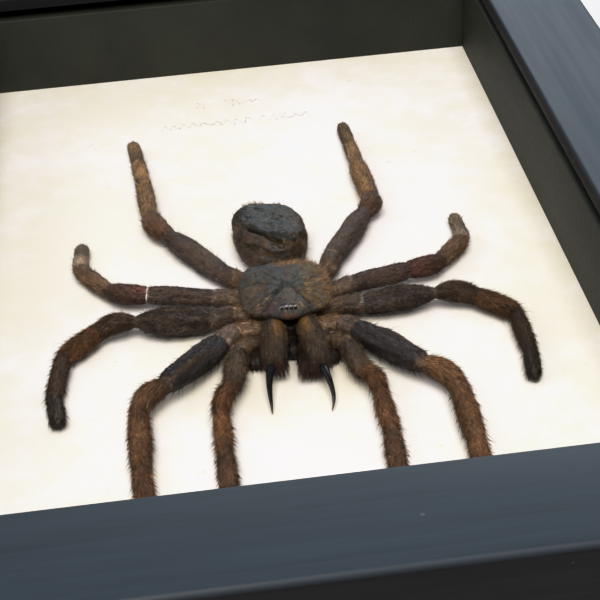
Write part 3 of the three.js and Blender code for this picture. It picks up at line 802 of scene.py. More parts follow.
limbs = {
    "leg_right_1": ([[1.6, 25.3, 2.9], [8.0, 25.8, 3.3], [10.6, 29.8, 3.9], [21.8, 41.8, 4.7],
                     [27.0, 47.0, 3.4], [27.0, 62.0, 2.8], [26.7, 72.4, 2.1], [26.3, 80.0, 1.9]],
                    [4.0, 4.4, 5.0, 4.0, 3.6, 3.2, 2.9]),
    "leg_left_1": ([[-7.3, 25.9, 2.9], [-12.6, 27.2, 3.3], [-15.1, 30.2, 3.9], [-25.4, 43.9, 4.5],
                    [-30.8, 50.3, 3.4], [-30.9, 64.1, 2.8], [-30.4, 74.4, 2.1], [-30.0, 81.8, 1.9]],
                   [4.0, 4.4, 5.0, 4.0, 3.6, 3.2, 2.9]),
    "leg_right_2": ([[1.6, 20.9, 2.9], [7.8, 19.8, 3.3], [11.7, 21.3, 3.6], [26.4, 19.8, 4.1],
                     [34.1, 20.5, 3.2], [40.8, 27.2, 2.9], [42.5, 38.3, 2.0], [41.6, 46.0, 1.9]],
                    [4.0, 4.2, 5.6, 4.0, 3.7, 2.9, 2.8]),
    "leg_left_2": ([[-7.3, 21.5, 2.9], [-14.0, 20.8, 3.3], [-17.5, 21.8, 3.6], [-31.8, 21.5, 4.1],
                    [-40.0, 22.7, 3.2], [-46.4, 28.7, 2.9], [-46.4, 40.5, 2.0], [-45.3, 48.0, 1.8]],
                   [4.0, 4.2, 5.2, 4.0, 3.7, 2.8, 2.7]),
    "leg_right_3": ([[1.5, 16.5, 2.9], [7.7, 14.2, 3.3], [10.8, 13.9, 3.6], [23.9, 10.3, 3.6],
                     [31.5, 6.9, 3.1], [37.6, -3.0, 2.8], [37.5, -8.7, 1.9], [37.1, -13.2, 1.7]],
                    [3.8, 3.9, 3.8, 4.1, 3.4, 3.0, 2.8]),
    "leg_left_3": ([[-7.2, 17.1, 2.9], [-13.8, 14.9, 3.3], [-16.6, 14.4, 3.6], [-28.2, 11.7, 3.6],
                    [-35.5, 9.1, 3.1], [-41.5, 1.8, 2.8], [-42.2, -3.4, 1.9], [-42.1, -9.5, 1.7]],
                   [3.8, 3.9, 3.8, 4.0, 3.6, 3.1, 2.7]),
    "leg_right_4": ([[1.1, 12.1, 2.9], [5.9, 7.7, 3.3], [8.3, 5.7, 3.4], [18.6, -11.2, 3.3],
                     [22.4, -20.1, 3.1], [23.4, -37.0, 2.5], [24.3, -47.0, 1.9], [25.2, -56.3, 1.8]],
                    [3.8, 4.2, 4.6, 4.3, 3.4, 3.1, 2.9]),
    "leg_left_4": ([[-6.8, 12.5, 2.9], [-12.6, 7.7, 3.3], [-14.1, 3.9, 3.6], [-23.2, -12.1, 3.6],
                    [-25.6, -18.4, 3.1], [-25.1, -34.7, 2.5], [-24.9, -45.0, 1.9], [-24.6, -55.3, 1.7]],
                   [3.8, 4.2, 4.5, 4.3, 3.9, 3.0, 2.7]),
    "palp_right": ([[0.7, 29.4, 2.9], [5.4, 30.2, 3.3], [7.8, 32.6, 3.6], [9.5, 43.0, 3.8],
                    [12.3, 49.1, 3.1], [12.5, 60.2, 2.8], [12.4, 70.6, 2.2]],
                   [2.9, 3.5, 3.7, 3.2, 2.7, 3.0]),
    "palp_left": ([[-6.3, 29.9, 2.9], [-10.5, 31.3, 3.3], [-12.6, 34.0, 3.6], [-14.6, 43.1, 3.8],
                   [-16.7, 48.4, 3.1], [-16.9, 60.1, 2.8], [-16.4, 70.2, 2.2]],
                  [2.9, 3.5, 3.7, 3.2, 2.7, 3.0]),
}
# how thick each segment starts and ends, as a share of its girth
tapers = {
    "1": [(0.95, 0.98), (0.98, 0.95), (0.92, 0.84), (0.86, 0.95), (0.92, 0.92), (0.92, 0.95), (0.95, 0.9)],
    "2": [(0.95, 0.98), (0.98, 0.95), (0.8, 0.42), (0.56, 0.9), (0.95, 0.86), (0.9, 0.92), (0.95, 0.9)],
    "3": [(0.95, 0.98), (0.98, 0.95), (0.97, 0.97), (0.88, 0.74), (0.84, 0.88), (0.92, 0.92), (0.95, 0.86)],
    "4": [(0.95, 0.98), (0.98, 0.95), (0.95, 0.72), (0.78, 0.86), (0.9, 0.88), (0.92, 0.92), (0.95, 0.9)],
    "palp": [(0.95, 0.98), (0.95, 0.95), (0.88, 0.95), (0.95, 0.92), (0.92, 0.95), (0.92, 0.9)],
}
limbShape = {"bright": 1.48, "sides": 14, "waist": 0.93, "swell": 1.04, "knee": 3, "kneeBow": 0.9,
             "flatness": 0.95,
             "endWide": 0.72, "capLong": 0.14, "capWide": 0.42, "fadeRange": (0.35, 1.6),
             "stations": [0.06, 0.15, 0.28, 0.44, 0.6, 0.74, 0.86, 0.95]}

# for each segment: skin, hair, hairs in a square mm, their length in mm, and both again for bristles
coats = {
    "1": [(tone(92, 74, 54), tone(112, 84, 54), 10, 1.0, 0.6, 1.5),
          (tone(78, 64, 55), tone(104, 82, 60), 8, 0.8, 0.5, 1.3),
          (tone(44, 41, 42), tone(54, 46, 42), 14, 0.6, 1.6, 1.3),
          (tone(98, 71, 50), tone(134, 100, 68), 20, 1.1, 3.0, 1.3),
          (tone(94, 67, 45), tone(130, 95, 62), 20, 1.1, 3.2, 1.4),
          (tone(92, 65, 45), tone(128, 93, 63), 20, 1.1, 3.2, 1.4),
          (tone(62, 48, 38), tone(84, 64, 46), 20, 0.9, 2.6, 1.1)],
    "2": [(tone(88, 70, 52), tone(108, 80, 52), 10, 1.0, 0.6, 1.4),
          (tone(68, 56, 47), tone(84, 68, 52), 8, 0.7, 0.5, 1.3),
          (tone(54, 44, 38), tone(66, 54, 44), 18, 0.6, 1.8, 1.2),
          (tone(64, 48, 36), tone(92, 70, 50), 20, 1.1, 3.0, 1.2),
          (tone(84, 58, 36), tone(116, 80, 48), 20, 1.2, 3.2, 1.4),
          (tone(62, 47, 36), tone(86, 66, 48), 18, 1.1, 3.2, 1.3),
          (tone(44, 36, 30), tone(62, 50, 38), 18, 0.9, 2.8, 1.1)],
    "3": [(tone(84, 68, 52), tone(104, 80, 54), 9, 0.9, 0.5, 1.2),
          (tone(78, 64, 54), tone(92, 74, 56), 7, 0.6, 0.4, 1.1),
          (tone(62, 48, 41), tone(72, 56, 45), 12, 0.6, 1.2, 0.9),
          (tone(68, 46, 38), tone(88, 60, 44), 14, 0.9, 1.8, 1.0),
          (tone(104, 80, 58), tone(128, 100, 74), 16, 0.9, 1.8, 0.9),
          (tone(136, 120, 100), tone(148, 130, 108), 14, 0.7, 1.2, 0.8),
          (tone(100, 86, 70), tone(116, 100, 80), 14, 0.7, 1.2, 0.8)],
    "4": [(tone(84, 66, 50), tone(112, 84, 54), 10, 1.0, 0.8, 1.2),
          (tone(68, 54, 44), tone(88, 68, 50), 9, 0.8, 0.6, 1.1),
          (tone(70, 58, 50), tone(86, 70, 58), 14, 0.6, 1.2, 0.9),
          (tone(88, 62, 45), tone(110, 80, 56), 16, 0.9, 1.8, 1.0),
          (tone(124, 96, 64), tone(146, 114, 76), 18, 1.0, 1.8, 0.9),
          (tone(134, 106, 74), tone(150, 120, 84), 16, 0.9, 1.6, 0.9),
          (tone(118, 96, 70), tone(130, 106, 78), 16, 0.8, 1.4, 0.8)],
    "palp": [(tone(62, 46, 36), tone(84, 62, 44), 9, 1.0, 0.8, 1.3),
             (tone(76, 60, 44), tone(104, 80, 54), 12, 0.9, 1.2, 1.3),
             (tone(66, 55, 45), tone(104, 84, 62), 20, 1.1, 3.2, 1.3),
             (tone(78, 54, 38), tone(126, 88, 54), 22, 1.2, 4.0, 1.4),
             (tone(88, 60, 40), tone(138, 98, 62), 22, 1.2, 4.0, 1.5),
             (tone(82, 60, 44), tone(116, 86, 60), 20, 1.1, 4.0, 1.3)],
}
membrane = {"pale": tone(196, 176, 154), "pink": tone(142, 108, 98), "width": 0.45}
darkHair = tone(30, 22, 17)
limbTones = {"bare": tone(140, 116, 108), "pinkKnee": tone(122, 76, 68), "ring": tone(226, 218, 208),
             "fleck": tone(216, 204, 176), "ridge": tone(92, 72, 54), "raw": tone(166, 138, 118),
             "rust": tone(84, 44, 32)}


def girthAt(start, end, share):
    rise = start + (limbShape["swell"] - start) * smooth(-0.02, 0.4, share)
    return rise - (limbShape["swell"] - end) * max(share - 0.5, 0) ** 2.2 / 0.5 ** 2.2


def limbRoute(joints, girth, taper):
    points = [Vector(p) for p in joints]
    headings = [(b - a).normalized() for a, b in zip(points, points[1:])]
    knee = limbShape["knee"]
    bow = headings[knee - 1] - headings[knee + 1]
    bow.z = 0.3
    bow.normalize()

    def centre(segment, share):
        out = limbShape["kneeBow"] * math.sin(math.pi * share) if segment == knee else 0
        return above(points[segment].lerp(points[segment + 1], share) + bow * out)

    stations = []
    for i, wide in enumerate(girth):
        before = girth[i - 1] * taper[i - 1][1] if i else wide
        facing = headings[i] + (headings[i - 1] if i else headings[i])
        stations.append((centre(i, 0), facing, limbShape["waist"] * min(wide * taper[i][0], before)))
        for share in limbShape["stations"]:
            stations.append((centre(i, share), headings[i], wide * girthAt(*taper[i], share)))
    tip = girth[-1]
    stations.append((centre(len(girth) - 1, 1.0), headings[-1], tip * limbShape["endWide"]))
    stations.append((centre(len(girth) - 1, 1.0) + headings[-1] * tip * limbShape["capLong"] * mm,
                     headings[-1], tip * limbShape["capWide"]))
    samples = [(centre(i, share), i, share) for i in range(len(girth)) for share in np.linspace(0, 1, 31)]
    return stations, samples


def ringLoft(name, stations, sides, flatness):
    # a closed tube, extruded ring by ring along the stations; each ring turns about the upright
    angle = [math.atan2(facing[1], facing[0]) for _, facing, _ in stations]
    place, _, wide = stations[0]
    bpy.ops.object.select_all(action="DESELECT")
    bpy.ops.mesh.primitive_circle_add(vertices=sides, radius=wide / 2 * mm, fill_type="NGON",
                                      location=place, rotation=(math.pi / 2, 0, angle[0] + math.pi / 2))
    tube = justAdded(name)
    bpy.ops.transform.resize(value=(1, 1, flatness), center_override=place)
    for i in range(1, len(stations)):
        before, now = stations[i - 1], stations[i]
        bpy.ops.mesh.extrude_region_move(TRANSFORM_OT_translate={"value": now[0] - before[0]})
        turn = (angle[i] - angle[i - 1] + math.pi) % (2 * math.pi) - math.pi
        if abs(turn) > 1e-4:
            bpy.ops.transform.rotate(value=-turn, orient_axis="Z", orient_type="GLOBAL",
                                     center_override=now[0])
        size = now[2] / before[2]
        bpy.ops.transform.resize(value=(size, size, size), center_override=now[0])
    return outOfEdit(tube)


# for each point: its segment, share, way along, and turn round the limb
def limbPlaces(places, samples):
    centres = np.array([tuple(s[0]) for s in samples])
    segment, share = np.array([s[1] for s in samples]), np.array([s[2] for s in samples])
    nearest = np.empty(len(places), int)
    batch = 4000
    for start in range(0, len(places), batch):
        part = places[start:start + batch]
        nearest[start:start + batch] = ((part[:, None, :] - centres[None]) ** 2).sum(axis=2).argmin(axis=1)
    steps = np.linalg.norm(np.diff(centres, axis=0), axis=1)
    reach = np.concatenate([[0], np.cumsum(steps)])
    ahead = np.gradient(centres, axis=0)
    ahead[(np.abs(ahead) < 1e-12).all(axis=1)] = [0, 1, 0]
    ahead = unit(ahead)
    tangent = ahead[nearest]
    side = unit(np.cross(tangent, [0, 0, 1.0]))
    top = np.cross(side, tangent)
    off = places - centres[nearest]
    around = np.arctan2((off * top).sum(axis=1), (off * side).sum(axis=1))
    further = reach[nearest] + (off * tangent).sum(axis=1)
    return segment[nearest], share[nearest], further, around, tangent


def makeLimb(name):
    joints, girth = limbs[name]
    kind = "palp" if name.startswith("palp") else name[-1]
    coat = coats[kind]
    seed = sorted(limbs).index(name)
    stations, samples = limbRoute(joints, girth, tapers[kind])
    skin = ringLoft(f"{name}_skin", stations, limbShape["sides"], limbShape["flatness"])
    refine(skin, 2)
    places, normals = pointsOf(skin), normalsOf(skin)
    segment, share, further, around, tangent = limbPlaces(places, samples)
    wide = np.array(girth)[segment]
    # shrunken skin: long hollows, finer lengthwise pleats and a few knocks
    lie = np.stack([further, np.cos(around) * wide / 2 * mm, np.sin(around) * wide / 2 * mm], axis=1)
    seedShift = seed * 7.3
    hollow = ripple(lie * [0.22, 1, 1], 1.5, seedShift)
    pleat = ripple(lie * [0.12, 1, 1], 0.55, seedShift + 4)
    knocks = ripple(lie, 1.3, seedShift + 8)
    middle = np.sin(np.pi * np.clip(share, 0, 1)) ** 0.5
    femur = (segment == 2).astype(float)
    depth = (hollow * (0.26 + 0.2 * femur) + pleat * 0.10 + knocks * 0.10) * middle * wide / 4
    placePoints(skin, places + normals * (depth * mm)[:, None])
    # colours: each segment's own, softly joined, with patches of pale skin near the root
    rows = np.array([row[0] for row in coat])
    long = np.array([(Vector(b) - Vector(a)).length for a, b in zip(joints, joints[1:])])[segment]
    other = np.clip(segment + np.where(share < 0.5, -1, 1), 0, len(girth) - 1)
    distance = np.minimum(share, 1 - share) * long
    patchy = smooth(-0.25, 0.3, ripple(lie, 1.1, seedShift + 11))
    colours = mixTones(rows[segment], rows[other], 0.5 * bell(distance, 0.7) * (0.4 + 0.6 * patchy))
    joint = (bell(distance, membrane["width"]) * patchy * np.where(segment < 2, 0.26, 0.14)
             * (segment < len(girth) - 1))
    paleJoint = mixTones(membrane["pink"], membrane["pale"], patchy)
    colours = mixTones(colours, paleJoint, joint)
    up = np.sin(around)
    spot = bell(share - 0.45, 0.3) * (segment == 1) * smooth(0.35, 0.9, up) * (kind == "1")
    spot += bell(share - 0.5, 0.35) * (segment == 0) * smooth(0.2, 0.8, up) * patchy * 0.7 * (kind in "12")
    colours = mixTones(colours, limbTones["bare"], np.clip(spot * 0.4, 0, 1) * (0.6 + 0.4 * patchy))
    if kind == "3":      # a raw pink patch on the knee, and on one leg a white ring before it
        pink = bell((share - 0.16) / 0.16, 1) * (segment == 3) * smooth(0.0, 0.7, up + 0.5 * np.cos(around))
        colours = mixTones(colours, limbTones["pinkKnee"], 0.55 * pink)
    if name == "leg_right_3":
        gap = 0.06 * ripple(np.stack([around * mm, around * 0, around * 0], axis=1), 1.0, 3)
        ring = (bell((1 - share) * 12 - gap * 5, 0.24) * (segment == 2)
                + bell(share * 8, 0.12) * (segment == 3))
        colours = mixTones(colours, limbTones["ring"], np.clip(ring, 0, 1))
    if name == "palp_right":
        fleck = bell((share - 0.03) * 10, 0.5) * (segment == 2) * bell(around - 1.9, 0.5)
        colours = mixTones(colours, limbTones["fleck"], np.clip(fleck * 1.3, 0, 1) * patchy)
    if kind in "12":     # bare, dark and slightly lighter along the ridge
        colours[:, :3] *= (1 - 0.2 * femur * smooth(0.2, 0.9, up))[:, None]
        colours = mixTones(colours, limbTones["ridge"],
                           femur * bell(around - 2.2, 0.28) * smooth(0.2, 0.7, share) * 0.6)
    raw = (smooth(0.0, 0.4, ripple(lie, 0.9, seedShift + 15)) * (segment == 0) * bell(share - 0.85, 0.2)
           * smooth(-0.3, 0.4, up))
    colours = mixTones(colours, limbTones["raw"],
                       raw * (0.75 if name in ("leg_right_1", "leg_right_2") else 0.2))
    rust = smooth(0.0, 0.5, ripple(lie, 0.8, seedShift + 17)) * (segment < 2) * smooth(0.5, -0.4, up)
    colours = mixTones(colours, limbTones["rust"], rust * 0.6)
    bands = ripple(lie * [0.4, 0.7, 0.7], 2.2, seedShift + 20)
    # random light and dark bands, and painted shade that darkens the underside, most under the coxae and
    # trochanters; then darker joints, a darker tibia on one leg and darker tips
    fadeAndUnderShade = 1 + 0.55 * bands - np.where(segment < 2, 0.6, 0.35) * smooth(0.3 * (segment < 2) + 0.1, -0.8, up)
    fadeAndUnderShade -= 0.3 * bell(distance, 0.9) * (segment > 1) * np.where((segment > 4) & (kind == "3"), 0, 1)
    fadeAndUnderShade *= np.where((segment >= 3) & (name == "leg_left_2"), 0.68, 1.0)
    fadeAndUnderShade -= 0.3 * smooth(0.75, 1.0, share) * (segment == len(girth) - 1)
    colours *= limbShape["bright"] * np.clip(fadeAndUnderShade, *limbShape["fadeRange"])[:, None]
    finishSkin(skin, colours, lie, limbFinish, "hairy_limb", name)
    growLimbHair(name, skin, coat, segment, share, around, tangent, fadeAndUnderShade, seed)


# lie: how far a hair lifts off the skin and how much it strays, in radians
limbCoat = {"furLie": (0.3, 0.38), "furCurl": 0.18, "furLength": (0.6, 1.35), "furWidth": (0.05, 0.08),
            "bristleLie": (0.8, 0.3), "bristleCurl": 0.35, "bristleWidth": (0.07, 0.12)}


def growLimbHair(name, skin, coat, segment, share, around, tangent, fadeAndUnderShade, seed):
    coatTable = np.array([row[2:] for row in coat], float)
    hairTone = np.array([row[1] for row in coat]) * limbShape["bright"]
    thin = 1 - 0.5 * bell(np.minimum(share, 1 - share) * 10, 0.4)       # joints are barer
    roots, normals, near, pickOne = scatter(skin, coatTable[segment, 0] * thin, seed + seeds["limbFur"])
    ways = comb(roots, normals, tangent[near], *limbCoat["furLie"], pickOne)
    count = len(roots)
    # the hair colour carries the same painted shade on the underside
    own = hairTone[segment[near]] * np.clip(fadeAndUnderShade[near], *limbShape["fadeRange"])[:, None]
    clump = smooth(-0.3, 0.35, ripple(roots, 0.8, seed))
    tones = mixTones(own * 1.25, darkHair,
                     np.clip(pickOne.random(count) ** 0.9 * (0.7 + 0.6 * clump), 0, 1))
    golden = pickOne.random(count) < 0.2 * (1 - 0.5 * clump)
    tones[golden] = own[golden] * 1.8
    lengths = coatTable[segment[near], 1] * pickOne.uniform(*limbCoat["furLength"], count) * mm
    addHair(f"{name}_fur", "hairy_limb", roots, ways, tangent[near] * limbCoat["furCurl"], lengths,
            pickOne.uniform(*limbCoat["furWidth"], count) * (1 + 0.4 * golden) * mm, tones)
    # bristles stand off further, most of them on the flanks and below
    flank = 0.25 + 1.3 * np.abs(np.cos(around)) ** 2 * (np.sin(around) < 0.75)
    roots, normals, near, pickOne = scatter(skin, coatTable[segment, 2] * flank,
                                            seed + seeds["limbBristles"])
    ways = comb(roots, normals, tangent[near], *limbCoat["bristleLie"], pickOne)
    count = len(roots)
    lengths = (coatTable[segment[near], 3]
               * (0.4 + 0.6 * pickOne.random(count) + 0.9 * pickOne.random(count) ** 5) * mm)
    tones = mixTones(hairTone[segment[near]], darkHair, pickOne.uniform(0.45, 1.0, count))
    addHair(f"{name}_bristles", "hairy_limb", roots, ways, tangent[near] * limbCoat["bristleCurl"], lengths,
            pickOne.uniform(*limbCoat["bristleWidth"], count) * mm, tones, steps=2)


for name in limbs:
    makeLimb(name)
print("legs and palps are modelled")

# sections from root to tip: centre over the paper, width and height, in mm

jaws = {
    "chelicera_right": [([0.6, 28.4, 5.2], 4.2, 5.0), ([0.65, 30.6, 5.6], 4.6, 5.8),
                        ([0.8, 32.8, 5.6], 4.8, 6.2), ([1.0, 35.2, 5.2], 4.8, 6.0),
                        ([1.2, 37.6, 4.7], 4.6, 5.0), ([1.3, 39.2, 4.3], 3.8, 3.6)],
    "chelicera_left": [([-5.9, 28.6, 5.2], 3.9, 5.0), ([-6.0, 31.0, 5.6], 4.2, 5.8),
                       ([-6.35, 33.4, 5.6], 4.4, 6.2), ([-6.7, 36.2, 5.2], 4.4, 6.0),
                       ([-6.8, 39.0, 4.7], 4.2, 5.0), ([-6.8, 40.8, 4.3], 3.4, 3.6)],
}
fangs = {
    "fang_right": [([1.8, 38.2, 4.2], 1.7, 1.8), ([2.2, 39.9, 4.0], 1.7, 1.8),
                   ([2.75, 41.9, 3.6], 1.35, 1.5), ([3.0, 44.4, 2.8], 1.0, 1.1),
                   ([3.05, 46.9, 1.8], 0.66, 0.7), ([3.1, 48.8, 0.7], 0.15, 0.2)],
    "fang_left": [([-7.2, 39.8, 4.2], 1.7, 1.8), ([-7.4, 41.5, 4.0], 1.7, 1.8),
                  ([-7.8, 43.3, 3.8], 1.35, 1.5), ([-8.25, 45.7, 3.0], 1.0, 1.1),
                  ([-8.3, 48.0, 1.9], 0.66, 0.7), ([-7.7, 49.8, 0.7], 0.15, 0.2)],
}
spinnerets = {
    "spinneret_right": [([-1.0, -13.4, 2.8], 1.5, 1.5), ([-0.5, -15.7, 2.5], 1.4, 1.4),
                        ([0.3, -18.5, 1.9], 0.6, 0.6)],
    "spinneret_left": [([-3.6, -12.9, 2.8], 1.5, 1.5), ([-3.7, -15.2, 2.5], 1.4, 1.4),
                       ([-3.7, -18.1, 1.9], 0.6, 0.6)],
}


def sectionLoft(name, sections, sides, between):
    # a closed form through a few sections, with rings put between them on a smooth line
    rows = np.array([[*centre, width, height] for centre, width, height in sections])
    at = np.arange(len(rows))
    fine = np.linspace(0, len(rows) - 1, (len(rows) - 1) * between + 1)
    slopes = np.gradient(rows, axis=0)
    base = np.minimum(fine.astype(int), len(rows) - 2)
    t = (fine - at[base])[:, None]
    a, b, ma, mb = rows[base], rows[base + 1], slopes[base], slopes[base + 1]
    eased = (2 * t ** 3 - 3 * t ** 2 + 1) * a + (t ** 3 - 2 * t ** 2 + t) * ma + \
        (3 * t ** 2 - 2 * t ** 3) * b + (t ** 3 - t ** 2) * mb
    heads = np.gradient(eased[:, :3], axis=0)
    angle = np.arctan2(heads[:, 1], heads[:, 0])
    first = above(eased[0])
    bpy.ops.object.select_all(action="DESELECT")
    bpy.ops.mesh.primitive_circle_add(vertices=sides, radius=eased[0][3] / 2 * mm, fill_type="NGON",
                                      location=first, rotation=(math.pi / 2, 0, angle[0] + math.pi / 2))
    piece = justAdded(name)
    bpy.ops.transform.resize(value=(1, 1, eased[0][4] / eased[0][3]), center_override=first)
    for before, now, turnFrom, turnTo in zip(eased, eased[1:], angle, angle[1:]):
        place = above(now)
        bpy.ops.mesh.extrude_region_move(TRANSFORM_OT_translate={"value": place - above(before)})
        bpy.ops.transform.rotate(value=-(turnTo - turnFrom), orient_axis="Z", orient_type="GLOBAL",
                                 center_override=place)
        flat, tall = now[3] / before[3], now[4] / before[4]
        bpy.ops.transform.resize(value=(flat, flat, tall), center_override=place)
    outOfEdit(piece)
    refine(piece, 2)
    return piece


# inner and inner coat: near-black skin and hair for the inner lower faces between the jaws, painted shade
jawTones = {"skin": tone(77, 62, 50), "golden": tone(132, 97, 54), "slate": tone(52, 54, 54),
            "inner": tone(30, 20, 15),
            "coat": tone(97, 78, 60), "goldenCoat": tone(164, 122, 66), "innerShadeCoat": tone(50, 32, 23),
            "pale": tone(176, 160, 132), "paleGolden": tone(186, 144, 88), "fringe": tone(92, 54, 42)}
fangTones = {"root": tone(22, 24, 28), "tip": tone(6, 6, 7)}


def makeJaw(name):
    sections = jaws[name]
    jaw = sectionLoft(f"{name}_skin", sections, 16, 3)
    places, normals = pointsOf(jaw), normalsOf(jaw)
    start, end = above(sections[0][0]), above(sections[-1][0])
    way = np.array((end - start).normalized())
    along = (places - np.array(start)) @ way / mm
    inward = 1 if name.endswith("left") else -1
    inner = inward * (places[:, 0] / mm - np.interp(
        along, [0, 9], [sections[0][0][0], sections[-1][0][0]]))
    lie = np.stack([along * mm, places[:, 0], places[:, 2]], axis=1)
    pleat = ripple(lie * [0.15, 1, 1], 0.6, 2.2)
    low = smooth(5.4, 2.4, places[:, 2] / mm - sheetTop)
    keel = (2.6 if name.endswith("left") else 0.3) * low * smooth(1, 6, along) * smooth(-1.0, 1.6, inner)
    places[:, 0] += keel * mm * inward
    placePoints(jaw, places + normals * (pleat * 0.1 * mm)[:, None])
    high = smooth(3.6, 7.2, places[:, 2] / mm - sheetTop)
    golden = bell(inner - 0.9, 1.1) * high * smooth(8.5, 2.5, along)
    slate = bell(inner + 0.6, 1.1) * high * smooth(4.5, 1.0, along) * (1 if name.endswith("right") else 0.3)
    inside = smooth(0.7, 1.7, inner) * (1 - high)
    colours = mixTones(jawTones["skin"], jawTones["golden"], golden)
    colours = mixTones(colours, jawTones["slate"], slate)
    # painted shade: darker low down, and near-black on the inner lower faces between the jaws
    colours[:, :3] *= (0.6 + 0.4 * high)[:, None]
    colours = mixTones(colours, jawTones["inner"], inside * 0.95)
    finishSkin(jaw, colours, lie, limbFinish, "hairy_limb", name)
    # short combed coat, brown on the inner top and grey outside, darker low down and on the inner lower
    # faces as painted shade
    seed = seeds["jaw"] + len(name)
    roots, ways, near, pickOne = scatter(jaw, 30.0 - 22.0 * inside - 14.0 * slate, seed)
    count = len(roots)
    down = np.tile(way, (count, 1))
    heading = comb(roots, ways, down, 0.22, 0.3, pickOne)
    own = mixTones(jawTones["coat"], jawTones["goldenCoat"], golden[near])
    own = mixTones(own, jawTones["innerShadeCoat"], inside[near])
    own *= (0.6 + 0.4 * high[near])[:, None]
    tones = mixTones(own * 1.5, darkHair, pickOne.random(count))
    pale = pickOne.random(count) < (0.035 + 0.04 * (1 - golden[near])) * high[near]
    tones[pale] = mixTones(jawTones["pale"], jawTones["paleGolden"], golden[near])[pale]
    lengths = np.where(golden[near] > 0.4, 0.5, 1.0) * pickOne.uniform(0.6, 1.4, count)
    addHair(f"{name}_fur", "hairy_limb", roots, heading, down * 0.1, lengths * mm,
            pickOne.uniform(0.045, 0.07, count) * (1 + 0.2 * pale) * mm, tones, steps=2)
    # the fringe at the far end and along the lower inner edge, in clumps that taper like teeth
    atEnd = smooth(9.2, 10.6, along) * smooth(5.6, 4.2, places[:, 2] / mm - sheetTop)
    below = smooth(4, 8, along) * smooth(1.2, 2.0, inner) * smooth(3.6, 2.6, places[:, 2] / mm - sheetTop)
    roots, ways, near, pickOne = scatter(jaw, np.clip(atEnd + 0.6 * below, 0, 1) * 24.0, seed + 1)
    count = len(roots)
    clump = np.round(roots / (0.75 * mm)) * 0.75 * mm
    pull = (clump - roots) * 0.9
    outward = np.array([0.25 if name.endswith("left") else -0.25, 0, -0.5])
    down = unit(np.tile(way, (count, 1)) + outward + ways * 0.3)
    lengths = pickOne.uniform(0.8, 1.8, count) * mm
    tones = mixTones(jawTones["fringe"], darkHair, pickOne.random(count))
    addHair(f"{name}_fringe", "hairy_limb", roots, down, pull / lengths[:, None] + [0, 0, -0.1], lengths,
            pickOne.uniform(0.07, 0.12, count) * mm, tones, steps=3)


def makeFang(name):
    fang = sectionLoft(f"{name}_horn", fangs[name], 14, 3)
    places = pointsOf(fang)
    along = places[:, 1] / mm - fangs[name][0][0][1]
    colours = mixTones(fangTones["root"], fangTones["tip"], smooth(1.5, 4.5, along))
    colours[:, 3] = 1
    keep(fang, "tone", "FLOAT_COLOR", colours)
    rounded(fang, 180)
    settle(fang, fangMaterial, "fang", name)


spinneretTones = {"skin": tone(70, 56, 44), "coat": tone(110, 84, 56)}


def makeSpinneret(name):
    piece = sectionLoft(f"{name}_skin", spinnerets[name], 12, 3)
    places = pointsOf(piece)
    colours = np.tile(spinneretTones["skin"], (len(places), 1))
    finishSkin(piece, colours, places[:, [1, 0, 2]], limbFinish, "hairy_limb", name)
    roots, ways, _, pickOne = scatter(piece, np.full(len(places), 8.0), seeds["spinneret"] + len(name))
    count = len(roots)
    back = np.tile([0.0, -1.0, -0.1], (count, 1))
    tones = mixTones(spinneretTones["coat"], darkHair, pickOne.random(count))
    addHair(f"{name}_fur", "hairy_limb", roots, comb(roots, ways, back, 0.4, 0.3, pickOne), back * 0.1,
            pickOne.uniform(0.5, 1.0, count) * mm, pickOne.uniform(0.05, 0.08, count) * mm, tones)


mouthparts = {
    "labium": [([-2.8, 28.8, 2.0], 3.0, 2.6), ([-2.7, 30.6, 2.0], 3.4, 3.0), ([-2.6, 32.2, 1.8], 3.0, 2.6),
               ([-2.6, 33.4, 1.5], 1.8, 1.4)],
    "maxilla_right": [([3.6, 30.6, 1.7], 3.0, 2.4), ([4.0, 32.2, 1.7], 4.2, 2.6),
                      ([4.5, 33.9, 1.5], 3.8, 2.2), ([4.8, 35.0, 1.2], 2.2, 1.3)],
    "maxilla_left": [([-8.9, 31.6, 1.7], 2.8, 2.4), ([-9.4, 33.0, 1.7], 3.8, 2.5),
                     ([-9.9, 34.6, 1.5], 3.4, 2.1), ([-10.4, 35.7, 1.2], 2.0, 1.3)],
}


# skin, coat, and hairs in a square mm; the near-black skins are partly painted shade in the gap between the
# jaws
mouthLooks = {"labium": {"skin": tone(10, 7, 6), "coat": tone(44, 28, 20), "density": 2.0},
              "maxilla": {"skin": tone(36, 25, 20), "coat": tone(74, 46, 34), "density": 12.0}}


def makeMouthpart(name):         # dark and bristly, low between the jaws and under the palps
    look = mouthLooks[name.split("_")[0]]
    piece = sectionLoft(f"{name}_skin", mouthparts[name], 14, 3)
    places, normals = pointsOf(piece), normalsOf(piece)
    placePoints(piece, places + normals * (ripple(places, 0.9, 5) * 0.15 * mm)[:, None])
    colours = np.tile(look["skin"], (len(places), 1))
    finishSkin(piece, colours, places[:, [1, 0, 2]], limbFinish, "hairy_limb",
               *([name] if name in nodes else []))
    roots, ways, _, pickOne = scatter(piece, np.full(len(places), look["density"]),
                                      seeds["mouthpart"] + len(name))
    count = len(roots)
    forward = np.tile([0.0, 1.0, -0.1], (count, 1))
    tones = mixTones(look["coat"], darkHair, pickOne.random(count))
    addHair(f"{name}_fur", "hairy_limb", roots, comb(roots, ways, forward, 0.6, 0.5, pickOne),
            forward * 0.1,
            pickOne.uniform(0.6, 1.5, count) * mm, pickOne.uniform(0.05, 0.08, count) * mm, tones)


for name in mouthparts:
    makeMouthpart(name)
for name in jaws:
    makeJaw(name)
for name in fangs:
    makeFang(name)
for name in spinnerets:
    makeSpinneret(name)
print("jaws, fangs and spinnerets are modelled")

